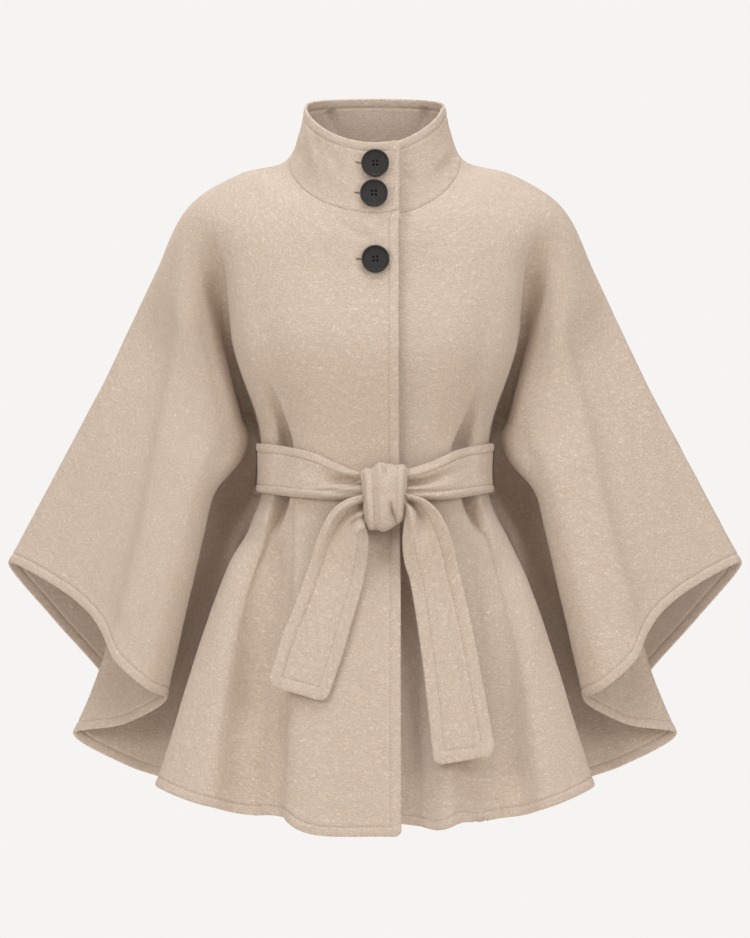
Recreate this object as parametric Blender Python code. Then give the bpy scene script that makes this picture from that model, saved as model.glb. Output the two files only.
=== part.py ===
"""Belted poncho of brushed wool, as it hangs when worn.

Two fronts that reach over the arms as wings, a back, a lapped stand collar, a tie belt with its knot and two
ends, and three buttons. The front faces -Y, +X is the wearer's left, and the origin lies at the base of the
neck. Sizes below are in millimetres; the meshes are made in metres.
"""

import math

import bmesh
import bpy
import numpy as np
from mathutils import Matrix
from mathutils.bvhtree import BVHTree

TO_METRES = 0.001

# Driving sizes
WALL = 2.6  # one layer of the brushed wool
SEAM = 0.3  # gap between neighbouring pieces
NECK_SEAM = 0.5  # the same round the neck, where both edges curve
LAP = 28.6  # each front runs this far past the centre line
LAP_GAP = 0.5  # between the two fronts where they lap
LAP_FADE = (32.0, 62.0)  # the under front comes back to the surface between these distances
UNDER_HEM_RISE = 9.0  # the under front is this much shorter at the centre
UNDER_HEM_SPAN = 80.0
BELT_THICK = 4.6  # two layers of wool

# The garment is one surface through rings at these levels, from the collar's top edge to the hem
LEVELS = ("rim", "stand", "neck", "shoulder", "yoke", "chest", "waist", "belt", "hip", "hem")
NECK = LEVELS.index("neck")
WAIST = LEVELS.index("waist")
BELT = LEVELS.index("belt")
HIP = LEVELS.index("hip")
HEM = LEVELS.index("hem")
MID_BELT = (WAIST + BELT) / 2

# Round rings: half width, depth in front and behind, height at front, side and back, and how the height runs
ROUND_RINGS = {
    "rim": dict(half=78.6, front=78, back=62, high=(12.6, 57, 72), run=(1.3, 0.6)),
    "stand": dict(half=85, front=84, back=66, high=(-27, 29, 37), run=(1.0, 0.8)),
    "neck": dict(half=97, front=92, back=72, high=(-66, 0, 5), run=(1.0, 1.0)),
    "shoulder": dict(half=150, front=100, back=88, high=(-94, -17, -20), run=(1.6, 1.6)),
    "yoke": dict(half=205, front=106, back=98, high=(-126, -50, -66), run=(2.0, 2.0)),
}

# One row for each fold line on one half, from the centre front round the wing's tip to the centre back.
# turn is its angle round the neck; the levels give how far out, how deep (+ is back) and how high it lies.
FOLD_COLUMNS = ("turn", "chest", "waist", "belt", "hem")
FOLDS = {
    "centre_front": (0, (0, -130, -214), (0, -110, -326), (0, -110, -383), (0, -190, -746)),
    "front_panel": (14, (66, -126, -211), (70, -104, -325), (78, -104, -386), (84, -187, -739)),
    "front_fold": (20, (90, -119, -210), (84, -94, -324), (92, -94, -385), (102, -166, -727)),
    "front_tuck": (26, (114, -106, -207), (97, -82, -323), (103, -84, -383), (137, -150, -724)),
    "front_ridge": (34.5, (134, -91, -205), (112, -74, -322), (115, -73, -381), (191, -164, -713)),
    "skirt_edge": (44, (147, -66, -202), (125, -48, -320), (126, -46, -380), (241, -118, -696)),
    "hidden_leg": (48, (150, -45, -199), (127.5, -16, -319), (127.5, -16, -379), (226, -84, -700)),
    "valley_near": (51, (152, -30, -197), (127.5, 8, -318), (127.5, 8, -379), (206, -50, -702)),
    "valley_far": (53, (157, -21, -195), (135, 16, -317), (136, 18, -378), (277, -28, -680)),
    "inner_turn": (55.5, (163, -18, -193), (144, 17, -315), (202, 6, -362), (335, -36, -645)),
    "inner_leg": (58, (169, -20, -190), (150, 7, -314), (193, -18, -359), (277, -60, -632)),
    "wing_edge": (61, (177, -25, -186), (150, -14, -314), (180, -50, -379), (230, -86, -602)),
    "wing_roll": (65, (190, -34, -178), (160, -34, -300), (194, -68, -355), (248, -110, -592)),
    "wing_front": (69.5, (204, -39, -170), (179, -42, -277), (217, -62, -335), (289, -104, -557)),
    "wing_ridge": (73, (218, -38, -160), (207, -40, -250), (237, -48, -315), (303, -80, -529)),
    "wing_side": (77, (230, -29, -149), (232, -26, -222), (261, -28, -295), (326, -50, -502)),
    "wing_lip": (82, (240, -14, -138), (255, -6, -198), (286, -10, -274), (369, -24, -473)),
    "wing_tip": (90, (248, 10, -131), (272, 10, -182), (308, 8, -258), (412, 5, -454)),
    "back_lip": (100, (238, 34, -140), (250, 38, -196), (278, 40, -285), (369, 45, -514)),
    "back_side": (110, (215, 58, -154), (222, 62, -216), (243, 70, -311), (325, 80, -567)),
    "back_flute": (120, (182, 80, -168), (188, 84, -240), (204, 96, -333), (282, 120, -621)),
    "back_hollow": (132, (144, 98, -180), (150, 102, -258), (158, 112, -353), (220, 142, -668)),
    "back_swell": (147, (98, 112, -188), (104, 120, -270), (106, 134, -367), (160, 196, -702)),
    "back_panel": (163, (50, 120, -193), (54, 126, -278), (53, 134, -373), (82, 180, -719)),
    "centre_back": (180, (0, 122, -195), (0, 130, -281), (0, 144, -378), (0, 214, -733)),
}
HIP_SHARE = 0.2  # the hip lies this far from the belt to the hem
HIP_SWELL = {"front_ridge": 1.03, "skirt_edge": 1.05, "hidden_leg": 1.04}  # the skirt stands out there
FOLD_NAMES = list(FOLDS)
TIP = FOLD_NAMES.index("wing_tip")
TUCK = FOLD_NAMES.index("front_tuck")
BACK = FOLD_NAMES.index("centre_back")
AROUND = 2 * BACK  # fold lines round the whole garment
SLIT = (FOLD_NAMES.index("valley_near"), FOLD_NAMES.index("valley_far"))  # the belt passes in here

# Grid of each panel: columns between neighbouring folds, and rows between neighbouring levels
PANEL_COLUMNS = 2
LAP_COLUMNS = 3  # from the centre line to the lap's edge, the same on both fronts so that they nest
TUCK_COLUMNS = 4  # from there to the front tuck
PANEL_ROWS = {"neck": 2, "shoulder": 2, "yoke": 3, "chest": 4, "waist": 3, "belt": 3, "hip": 7}
COLLAR_SIDE_COLUMNS = 10  # from the lap to the shoulder
COLLAR_BACK_COLUMNS = 20
COLLAR_ROWS = 5
FRONT_FOLDS = 3  # places on the front are looked for up to this many folds from the centre
SEARCH_STEPS = 120
NORMAL_STEP = 0.02  # share of a fold or level that normals are measured over

# Belt band: height of its top and bottom edge by distance from the knot's middle
KNOT_X = 10.5
BAND_COLUMNS = ("from_knot", "top", "bottom")
BAND = [
    (0, -354, -380),
    (26, -352, -382),
    (50, -343, -384),
    (78, -330, -382),
    (110, -324, -379),
    (135, -320.5, -376),
]
BAND_GAP = 0.8  # clear of the fronts that it goes over
BAND_PLEAT = 4.0  # how far the gathered band stands out beside the knot
BAND_PLEAT_SPAN = (28, 75)  # the gathers fade between these distances from the knot's middle
BAND_STEPS = (26.5, 30.5, 37, 46, 58, 70)  # sections beside the knot
BAND_FRONT = 66  # they stop this far from the centre line, where the first fold lies
BAND_SIDE_FOLDS = [1 + step / 2 for step in range(2 * SLIT[0] - 1)]  # from that fold to the slit
BAND_BACK_DEPTH = 96.0  # the band behind runs on an ellipse inside the back
BAND_BACK_STEPS = 14
# Section of the band, right round
BAND_SECTION_COLUMNS = ("height_share", "thickness_share")
BAND_SECTION = [
    (0, 0.5),
    (0.04, 0.92),
    (0.27, 1),
    (0.5, 1),
    (0.73, 1),
    (0.96, 0.92),
    (1, 0.5),
    (0.96, 0.08),
    (0.5, 0),
    (0.04, 0.08),
]

# Knot: its rolls from the viewer's left to right, each from top to bottom over the front
KNOT_BASE = -116.6  # depth of its flat back, just in front of the band
KNOT_LEAN = 0.16  # below the band the back leans forward with the skirt
KNOT_COLUMNS = ("x_top", "x_bottom", "top", "bottom", "out")
KNOT_ROLLS = [
    (-15.4, -9.7, -353, -411, 9),
    (-10.0, -5.0, -349, -416, 22),
    (-4.0, 2.0, -350, -415, 18),
    (4.0, 8.5, -343.5, -416, 26),
    (15.0, 17.5, -343.5, -413, 27),
    (24.5, 22.5, -346, -410, 20),
    (30.5, 27.0, -344, -407, 23),
    (35.6, 31.0, -350, -401, 9),
]
KNOT_EDGE = 4.0  # thickness left at its top and bottom edge
KNOT_WRAP = 11  # rows over the front
KNOT_FULLNESS = 0.8  # below 1 its section is fuller than a half ellipse

# Belt ends: rows from the knot down, with both edges and the depth of the back where it hangs free
TAIL_COLUMNS = ("near_x", "near_z", "far_x", "far_z", "deep", "pleat")
TAILS = {
    "belt_tail_right": [
        (-10.6, -411, -13.6, -378, -120.5, 5),
        (-8.2, -419, -28, -381, -121, 8),
        (-6.6, -429, -45.4, -392, -122, 8),
        (-7.1, -442, -57.4, -411, -124, 7),
        (-12.5, -474, -69.3, -445, -128, 3.5),
        (-22.3, -508, -82.3, -483, -136, 1.5),
        (-33.2, -546, -99.6, -527, -146, 0.5),
        (-52.7, -603, -117.3, -584, -160, 0),
    ],
    "belt_tail_left": [
        (32.6, -394, 33.8, -377, -120.5, 4),
        (32.3, -405, 53.1, -382, -121, 8),
        (30.1, -425, 70.6, -397, -122, 8),
        (31.2, -444, 82.6, -422, -124, 7),
        (37.7, -470, 92.3, -461, -128, 3.5),
        (45.2, -514, 104, -511, -138, 1.5),
        (53.8, -578, 116.8, -578, -152, 0.5),
        (63.4, -671, 131.8, -659, -172, 0),
    ],
}
TAIL_ACROSS = 8
TAIL_DOWN = 2  # rows between neighbouring rows of the table
TAIL_LIFT = 0.8  # clear of the skirt that it lies on
TAIL_REACH = 6.0  # the skirt is felt this far round each point
TAIL_PLEATS = 1.5  # pleat waves across an end beside the knot

# Buttons: radius and height of the turned outline, from the shank's foot round to the middle of the face
BUTTON_OUTLINE = [
    (0, 0),
    (4, 0),
    (4, 1.6),
    (12, 1.6),
    (14.8, 2.6),
    (15.3, 3.6),
    (15.1, 4.9),
    (14.3, 5.5),
    (13.3, 5.4),
    (12.7, 4.7),
    (0, 4.4),
]
BUTTON_SIDES = 22
BUTTON_HOLE = 1.25
BUTTON_HOLE_SIDES = 8
BUTTON_HOLE_OFF = 2.1  # from the middle, both ways
BUTTON_CUT = (-7.0, 13.0)  # the cutters run between these heights, past both faces
# Middle of each button, across and up
BUTTONS = {"button_top": (0.2, -11.7), "button_middle": (-1.1, -45.4), "button_lower": (0.5, -118.8)}

WOOL = dict(colour=(0.68, 0.55, 0.44), roughness=0.9)
BLACK_PLASTIC = dict(colour=(0.02, 0.02, 0.021), roughness=0.35)
SMOOTH_ANGLE = math.radians(50)  # edges sharper than this stay crisp


def named_columns(names, rows):
    """The columns of a table by name, each as an array."""
    return dict(zip(names, np.array(rows, float).T))


def steps_along(points):
    """Distances along each line of points, so that a curve through them runs evenly."""
    lengths = np.linalg.norm(np.diff(points, axis=0), axis=2)
    return np.concatenate([np.zeros((1, points.shape[1])), np.cumsum(lengths, axis=0)])


def smooth_lines(points, places):
    """Curves through points[k, line] read at places[i, line]; 3.5 is halfway from point 3 to point 4."""
    count, lines = points.shape[:2]
    knots = steps_along(points)
    gaps = np.diff(knots, axis=0)[:, :, None]
    slopes = np.diff(points, axis=0) / gaps
    tangents = np.empty_like(points)
    tangents[0], tangents[-1] = slopes[0], slopes[-1]
    tangents[1:-1] = (slopes[:-1] * gaps[1:] + slopes[1:] * gaps[:-1]) / (gaps[1:] + gaps[:-1])
    first = np.clip(np.floor(places).astype(int), 0, count - 2)
    part = (places - first)[:, :, None]
    line = np.broadcast_to(np.arange(lines), first.shape)
    start, end = points[first, line], points[first + 1, line]
    lead, trail = tangents[first, line], tangents[first + 1, line]
    gap = gaps[first, line]
    squared, cubed = part**2, part**3
    return (
        (2 * cubed - 3 * squared + 1) * start
        + (cubed - 2 * squared + part) * gap * lead
        + (3 * squared - 2 * cubed) * end
        + (cubed - squared) * gap * trail
    )


def round_ring_point(ring, turn):
    """A point of a round ring, turn degrees from the centre front."""
    across, along = math.sin(math.radians(turn)), math.cos(math.radians(turn))
    front, side, back = ring["high"]
    if along >= 0:
        return ring["half"] * across, -ring["front"] * along, side + (front - side) * along ** ring["run"][0]
    return ring["half"] * across, -ring["back"] * along, side + (back - side) * (-along) ** ring["run"][1]


def hip_point(belt, hem, swell):
    """A point a little below the belt, on the straight fall to the hem or swollen out from it."""
    out, deep, high = (start + (end - start) * HIP_SHARE for start, end in zip(belt, hem))
    return out * swell, deep * swell, high


def fold_lines():
    """Points [level, fold] right round the garment: the viewer's left half (-X), then the right half back."""
    half = []
    for name, row in FOLDS.items():
        fold = dict(zip(FOLD_COLUMNS, row))
        fold["hip"] = hip_point(fold["belt"], fold["hem"], HIP_SWELL.get(name, 1))
        line = [
            round_ring_point(ROUND_RINGS[level], fold["turn"]) if level in ROUND_RINGS else fold[level]
            for level in LEVELS
        ]
        half.append([(-out, deep, high) for out, deep, high in line])
    other = [[(-x, y, z) for x, y, z in line] for line in half[-2:0:-1]]
    return np.array(half + other, float).transpose(1, 0, 2)


FOLD_LINES = fold_lines()


def surface(across, down):
    """The outer cloth surface at fold places across[row, column] and level places down[row, column]."""
    margin = 3  # folds repeated past each end, so that the ring closes smoothly
    around = np.arange(-margin, AROUND + margin + 1) % AROUND
    levels, rows = np.unique(down, return_inverse=True)
    lines = smooth_lines(FOLD_LINES, np.repeat(levels[:, None], AROUND, axis=1))
    rings = lines[:, around].transpose(1, 0, 2)  # [fold, level]
    found = np.empty((*across.shape, 3))
    rows = rows.reshape(down.shape)
    for k in range(len(levels)):
        here = rows == k
        places = across[here] % AROUND + margin
        found[here] = smooth_lines(rings[:, k : k + 1], places[:, None])[:, 0]
    return found


def normals(across, down):
    """Outward unit normals of the surface at the same places, and its unit tangents across and down."""
    along = surface(across + NORMAL_STEP, down) - surface(across - NORMAL_STEP, down)
    lower = surface(across, np.minimum(down + NORMAL_STEP, HEM))
    fall = lower - surface(across, np.maximum(down - NORMAL_STEP, 0))
    out = np.cross(along, fall)
    return tuple(v / np.linalg.norm(v, axis=2, keepdims=True) for v in (out, along, fall))


def place_at_x(wanted, down):
    """The fold place near the centre front where the surface at level down has x = wanted."""
    tries = np.linspace(-FRONT_FOLDS, FRONT_FOLDS, SEARCH_STEPS + 1)[None, :]
    reached = surface(tries, np.full_like(tries, down))[0, :, 0]
    return float(np.interp(-wanted, -reached, tries[0]))


def smoothstep(low, high, value):
    part = np.clip((value - low) / (high - low), 0, 1)
    return part * part * (3 - 2 * part)


def level_places(first, last):
    """Level places from one level to another, with the rows that PANEL_ROWS gives between them."""
    places = []
    for level in range(first, last):
        count = PANEL_ROWS[LEVELS[level]]
        places += [level + step / count for step in range(count)]
    return np.array(places + [last])


def under_depth(points, across):
    """How far the under lap lies below the surface: one wall and a gap near the centre, none farther out."""
    return (WALL + LAP_GAP) * (1 - smoothstep(*LAP_FADE, points[:, :, 0])) * (across > AROUND / 2)


def shell(name, outer, inner, hole=None):
    """A closed body between two grids of points, with an optional hole of whole cells (rows, columns)."""
    rows, columns = outer.shape[:2]
    mesh = bmesh.new()
    front, back = (
        [[mesh.verts.new(point * TO_METRES) for point in line] for line in grid] for grid in (outer, inner)
    )
    cells = {(row, column) for row in range(rows - 1) for column in range(columns - 1)}
    if hole:
        cells -= {(row, column) for row in range(*hole[0]) for column in range(*hole[1])}
    edges = set()
    for row, column in sorted(cells):
        corners = [(row, column), (row + 1, column), (row + 1, column + 1), (row, column + 1)]
        mesh.faces.new([front[r][c] for r, c in corners])
        mesh.faces.new([back[r][c] for r, c in reversed(corners)])
        edges.update(zip(corners, corners[1:] + corners[:1]))
    for start, end in sorted(edges):
        if (end, start) not in edges:  # only one cell has it, so it is on the border
            (r, c), (s, d) = start, end
            mesh.faces.new([front[s][d], front[r][c], back[r][c], back[s][d]])
    loose = [vertex for vertex in mesh.verts if not vertex.link_faces]
    bmesh.ops.delete(mesh, geom=loose, context="VERTS")
    return finish(name, mesh, WOOL)


def finish(name, mesh, look):
    """Turns a bmesh into a named object with its own material."""
    bmesh.ops.recalc_face_normals(mesh, faces=mesh.faces[:])
    data = bpy.data.meshes.new(name)
    mesh.to_mesh(data)
    mesh.free()
    data.shade_smooth()
    data.set_sharp_from_angle(angle=SMOOTH_ANGLE)
    thing = bpy.data.objects.new(name, data)
    bpy.context.scene.collection.objects.link(thing)
    material = bpy.data.materials.new(name)
    material.use_nodes = True
    shader = material.node_tree.nodes["Principled BSDF"]
    shader.inputs["Base Color"].default_value = (*look["colour"], 1)
    shader.inputs["Roughness"].default_value = look["roughness"]
    data.materials.append(material)
    return thing


def panel(name, across, down, hole=None):
    """A cloth panel on the surface, half a seam short of its neighbours at its first and last column."""
    outer = surface(across, down)
    out, along, fall = normals(across, down)
    outer = outer - out * under_depth(outer, across)[:, :, None]
    for column, sign in ((0, 1), (-1, -1)):
        outer[:, column] += sign * along[:, column] * SEAM / 2
    top = NECK_SEAM / 2 if down[0, 0] == NECK else 0
    bottom = NECK_SEAM / 2 if down[-1, 0] == NECK else 0
    outer[0] += fall[0] * top
    outer[-1] -= fall[-1] * bottom
    return shell(name, outer, outer - out * WALL, hole)


def front_across(down, sign):
    """Fold places of a front, row by row: from its edge past the centre, to the wing's tip."""
    rows = []
    for place in down:
        edge = place_at_x(LAP, place)
        lap = np.linspace(edge, -edge, 2 * LAP_COLUMNS + 1)[:-1]
        tuck = np.linspace(-edge, TUCK, TUCK_COLUMNS + 1)[:-1]
        folds = np.linspace(TUCK, TIP, (TIP - TUCK) * PANEL_COLUMNS + 1)
        line = np.concatenate([lap, tuck, folds])
        rows.append(line if sign > 0 else (AROUND - line)[::-1])
    return np.array(rows)


def make_fronts():
    """Both fronts, each with the slit that the belt goes through; the left one lies under the right."""
    levels = level_places(NECK, HEM)
    first = 2 * LAP_COLUMNS + TUCK_COLUMNS  # the column on the front tuck
    down = np.tile(levels[:, None], (1, first + (TIP - TUCK) * PANEL_COLUMNS + 1))
    slit_rows = (list(levels).index(WAIST), list(levels).index(BELT))
    slit = [first + (place - TUCK) * PANEL_COLUMNS for place in SLIT]
    panel("front_right", front_across(levels, 1), down, hole=(slit_rows, slit))
    mirrored = [down.shape[1] - 1 - column for column in reversed(slit)]
    across = front_across(levels, -1)
    rise = UNDER_HEM_RISE * (1 - smoothstep(LAP, UNDER_HEM_SPAN, surface(across, down)[:, :, 0]))
    skirt = FOLDS["centre_front"][FOLD_COLUMNS.index("belt")][2] - FOLDS["centre_front"][-1][2]
    shorter = down - (rise / skirt) * np.clip(down - HIP, 0, 1)
    panel("front_left", across, shorter, hole=(slit_rows, mirrored))


def make_back():
    levels = level_places(NECK, HEM)
    across = np.linspace(TIP, AROUND - TIP, (AROUND - 2 * TIP) * PANEL_COLUMNS + 1)
    shape = (len(levels), len(across))
    panel("back", np.broadcast_to(across, shape).copy(), np.broadcast_to(levels[:, None], shape).copy())


def place_at_turn(turn):
    """The fold place at this many degrees round the neck from the centre front, up to 360."""
    half = [row[0] for row in FOLDS.values()]
    turns = half + [360 - value for value in half[-2::-1]]
    return np.interp(turn, turns, np.arange(AROUND + 1))


def make_collar():
    """The stand collar, one strip right round that laps over itself in front as the fronts do."""
    down = np.linspace(0, NECK, COLLAR_ROWS + 1)
    half_turns = [row[0] for row in FOLDS.values()]
    shoulder, other_shoulder = 90, 270
    rows = []
    for place in down:
        edge = place_at_x(LAP, place)
        lap = np.linspace(edge, -edge, 2 * LAP_COLUMNS + 1)
        lap_turn = np.interp(-edge, np.arange(BACK + 1), half_turns)
        side = np.linspace(lap_turn, shoulder, COLLAR_SIDE_COLUMNS + 1)
        behind = np.linspace(shoulder, other_shoulder, COLLAR_BACK_COLUMNS + 1)
        ring = place_at_turn(np.concatenate([side[:-1], behind, 360 - side[-2::-1]]))
        rows.append(np.concatenate([lap[:-1], ring, AROUND + lap[1:]]))
    across = np.array(rows)
    panel("collar", across, np.broadcast_to(down[:, None], across.shape).copy())


def band_edges(x):
    """Heights of the band's top and bottom edge at this x."""
    band = named_columns(BAND_COLUMNS, BAND)
    return tuple(np.interp(abs(x - KNOT_X), band["from_knot"], band[edge]) for edge in ("top", "bottom"))


def band_front_section(place):
    """Points under the band and outward normals, round its section at a fold place on the front."""
    shares = named_columns(BAND_SECTION_COLUMNS, BAND_SECTION)["height_share"]
    ends = surface(np.full((2, 1), place), np.array([[WAIST], [BELT]], float))[:, 0]
    top, bottom = band_edges(ends[:, 0].mean())
    wanted = top + (bottom - top) * shares
    down = WAIST + (wanted - ends[0, 2]) / (ends[1, 2] - ends[0, 2])
    across = np.full((len(down), 1), place)
    out = normals(across, down[:, None])[0]
    return surface(across, down[:, None])[:, 0], out[:, 0]


def band_back_section(angle):
    """The same for the band behind, which runs on an ellipse inside the back."""
    shares = named_columns(BAND_SECTION_COLUMNS, BAND_SECTION)["height_share"]
    half, start, _ = FOLDS["valley_near"][FOLD_COLUMNS.index("waist")]
    top, bottom = band_edges(-half)
    x, y = -half * math.cos(angle), start + BAND_BACK_DEPTH * math.sin(angle)
    points = np.array([(x, y, top + (bottom - top) * share) for share in shares])
    out = np.array([-math.cos(angle) / half, math.sin(angle) / BAND_BACK_DEPTH, 0])
    return points, np.tile(out / np.linalg.norm(out), (len(points), 1))


def make_belt_band():
    """The band: over both fronts, in through the side slits and round behind, as one closed ring."""
    near = [place_at_x(KNOT_X - step, MID_BELT) for step in BAND_STEPS if step - KNOT_X < BAND_FRONT]
    other = [place_at_x(KNOT_X + step, MID_BELT) for step in BAND_STEPS if step + KNOT_X < BAND_FRONT]
    left = [place_at_x(KNOT_X, MID_BELT)] + near + BAND_SIDE_FOLDS
    right = [-place for place in BAND_SIDE_FOLDS[::-1]] + other[::-1]
    turns = np.linspace(0, math.pi, BAND_BACK_STEPS + 2)[1:-1]
    sections = [band_front_section(place) for place in left]
    sections += [band_back_section(angle) for angle in turns]
    sections += [band_front_section(place) for place in right]
    section = named_columns(BAND_SECTION_COLUMNS, BAND_SECTION)
    thickness = section["thickness_share"]
    outside = thickness > 0.5
    lobes = np.sin(2 * math.pi * section["height_share"]) ** 2 * outside
    behind_knot = (0, 1, len(sections) - 1)  # flat there, so that the knot lies over it
    grid = []
    for index, (points, out) in enumerate(sections):
        away = abs(points[:, 0].mean() - KNOT_X)
        on_front = points[:, 1].mean() < 0 and index not in behind_knot
        gather = (1 - smoothstep(*BAND_PLEAT_SPAN, away)) * on_front
        offset = BAND_GAP + BELT_THICK * thickness + BAND_PLEAT * gather * lobes
        grid.append(points + out * offset[:, None])
    closed_tube("belt_band", grid)


def closed_tube(name, sections):
    """A closed ring of closed sections."""
    mesh = bmesh.new()
    rings = [[mesh.verts.new(point * TO_METRES) for point in section] for section in sections]
    for here, there in zip(rings, rings[1:] + rings[:1]):
        for k in range(len(here)):
            n = (k + 1) % len(here)
            mesh.faces.new([here[k], here[n], there[n], there[k]])
    return finish(name, mesh, WOOL)


def make_belt_knot():
    """The knot: upright rolls beside each other, round in front and flat behind."""
    rolls = np.array(KNOT_ROLLS, float)
    places = np.arange(2 * len(rolls) - 1)[:, None] / 2
    roll = named_columns(KNOT_COLUMNS, smooth_lines(rolls[:, None, :], places)[:, 0])
    middle, half = (roll["top"] + roll["bottom"]) / 2, (roll["top"] - roll["bottom"]) / 2
    lowest_band = BAND[0][BAND_COLUMNS.index("bottom")]
    front, back = [], []
    for angle in np.linspace(-math.pi / 2, math.pi / 2, KNOT_WRAP):
        part = 0.5 + angle / math.pi
        x = roll["x_top"] + (roll["x_bottom"] - roll["x_top"]) * part
        z = middle - half * math.sin(angle)
        base = KNOT_BASE - KNOT_LEAN * np.clip(lowest_band - z, 0, None)
        fullness = max(math.cos(angle), 0) ** KNOT_FULLNESS
        y = base - KNOT_EDGE - (roll["out"] - KNOT_EDGE) * fullness
        front.append(np.stack([x, y, z], axis=1))
        back.append(np.stack([x, base, z], axis=1))
    shell("belt_knot", np.array(front), np.array(back))


def feel(trees, x, z):
    """Depth of the first surface met from the front, near this x and z."""
    found = []
    for across, up in ((0, 0), (-1, 0), (1, 0), (0, -1), (0, 1)):
        start = ((x + across * TAIL_REACH) * TO_METRES, -1, (z + up * TAIL_REACH) * TO_METRES)
        hits = [tree.ray_cast(start, (0, 1, 0))[0] for tree in trees]
        found += [hit.y / TO_METRES for hit in hits if hit]
    return min(found)


def make_tail(name, rows, trees):
    """An end of the belt, from the knot down, clear of the skirt that it lies on."""
    table = np.array(rows, float)
    places = np.arange(TAIL_DOWN * (len(table) - 1) + 1)[:, None] / TAIL_DOWN
    back = []
    for values in smooth_lines(table[:, None, :], places)[:, 0]:
        row = dict(zip(TAIL_COLUMNS, values))
        line = []
        for share in np.linspace(0, 1, TAIL_ACROSS + 1):
            x = row["near_x"] + (row["far_x"] - row["near_x"]) * share
            z = row["near_z"] + (row["far_z"] - row["near_z"]) * share
            fold = row["pleat"] * (1 - math.cos(2 * math.pi * TAIL_PLEATS * share)) / 2
            line.append((x, min(row["deep"] - fold, feel(trees, x, z) - TAIL_LIFT), z))
        back.append(line)
    back = np.array(back)
    front = back - np.array([0, BELT_THICK, 0])
    shell(name, front, back)


def make_button(name, x, z):
    """A turned four-hole button on its shank, square to the cloth."""
    levels = np.linspace(0, BELT, SEARCH_STEPS + 1)
    centre_line = surface(np.zeros((len(levels), 1)), levels[:, None])[:, 0]
    down = float(np.interp(-z, -centre_line[:, 2], levels))
    across = np.array([[place_at_x(x, down)]])
    seat = surface(across, np.array([[down]]))[0, 0]
    out, _, fall = (v[0, 0] for v in normals(across, np.array([[down]])))
    side = np.cross(out, fall)
    mesh = bmesh.new()
    rings = []
    for radius, high in BUTTON_OUTLINE:
        count = BUTTON_SIDES if radius else 1
        angles = [2 * math.pi * k / count for k in range(count)]
        rings.append([mesh.verts.new((radius * math.cos(a), radius * math.sin(a), high)) for a in angles])
    for low, top in zip(rings, rings[1:]):
        for k in range(BUTTON_SIDES):
            n = (k + 1) % BUTTON_SIDES
            corners = [low[k % len(low)], low[n % len(low)], top[n % len(top)], top[k % len(top)]]
            mesh.faces.new(list(dict.fromkeys(corners)))
    place = frame_at(seat + out * SEAM, side, -fall, out)
    mesh.transform(place)
    button = finish(name, mesh, BLACK_PLASTIC)
    holes = bmesh.new()
    low, high = BUTTON_CUT
    for across in (-BUTTON_HOLE_OFF, BUTTON_HOLE_OFF):
        for up in (-BUTTON_HOLE_OFF, BUTTON_HOLE_OFF):
            made = bmesh.ops.create_cone(
                holes,
                cap_ends=True,
                segments=BUTTON_HOLE_SIDES,
                radius1=BUTTON_HOLE,
                radius2=BUTTON_HOLE,
                depth=high - low,
            )
            bmesh.ops.translate(holes, verts=made["verts"], vec=(across, up, (low + high) / 2))
    holes.transform(place)
    cutter = finish(name + "_holes", holes, BLACK_PLASTIC)
    cutter.hide_render = True
    cutter.display_type = "WIRE"
    cut = button.modifiers.new("holes", "BOOLEAN")
    cut.operation = "DIFFERENCE"
    cut.solver = "EXACT"
    cut.object = cutter


def frame_at(origin, x_axis, y_axis, z_axis):
    """A matrix that carries a shape in millimetres to its place in metres."""
    columns = [np.array(v) * TO_METRES for v in (x_axis, y_axis, z_axis, origin)]
    rows = [[column[k] for column in columns] for k in range(3)]
    return Matrix(rows + [[0, 0, 0, 1]])


def tree_of(name):
    """The faces of a piece, for finding where a line from the front meets it."""
    mesh = bpy.data.objects[name].data
    points = [vertex.co for vertex in mesh.vertices]
    return BVHTree.FromPolygons(points, [face.vertices[:] for face in mesh.polygons])


def main():
    for thing in list(bpy.data.objects):
        bpy.data.objects.remove(thing)
    make_fronts()
    make_back()
    make_collar()
    make_belt_band()
    make_belt_knot()
    trees = [tree_of(name) for name in ("front_right", "front_left")]
    for name, rows in TAILS.items():
        make_tail(name, rows, trees)
    for name, (x, z) in BUTTONS.items():
        make_button(name, x, z)


main()
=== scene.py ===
import math

import bpy
import numpy as np
from mathutils.bvhtree import BVHTree
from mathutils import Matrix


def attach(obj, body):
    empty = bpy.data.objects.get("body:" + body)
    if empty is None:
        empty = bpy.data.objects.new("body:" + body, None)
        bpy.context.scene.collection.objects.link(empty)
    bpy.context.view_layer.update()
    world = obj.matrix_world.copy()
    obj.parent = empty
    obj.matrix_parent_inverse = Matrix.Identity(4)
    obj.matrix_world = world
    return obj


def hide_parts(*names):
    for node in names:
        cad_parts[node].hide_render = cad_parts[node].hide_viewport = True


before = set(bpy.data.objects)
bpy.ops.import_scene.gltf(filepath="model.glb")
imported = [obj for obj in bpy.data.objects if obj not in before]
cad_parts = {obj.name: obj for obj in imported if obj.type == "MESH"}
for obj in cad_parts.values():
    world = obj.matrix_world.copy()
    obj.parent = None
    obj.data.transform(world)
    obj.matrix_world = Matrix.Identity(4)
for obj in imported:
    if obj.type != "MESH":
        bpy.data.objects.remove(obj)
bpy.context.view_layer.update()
bpy.ops.object.select_all(action="DESELECT")
print("frame loaded:", ", ".join(sorted(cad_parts)))

mm = 0.001  # all sizes below are in millimetres

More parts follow.
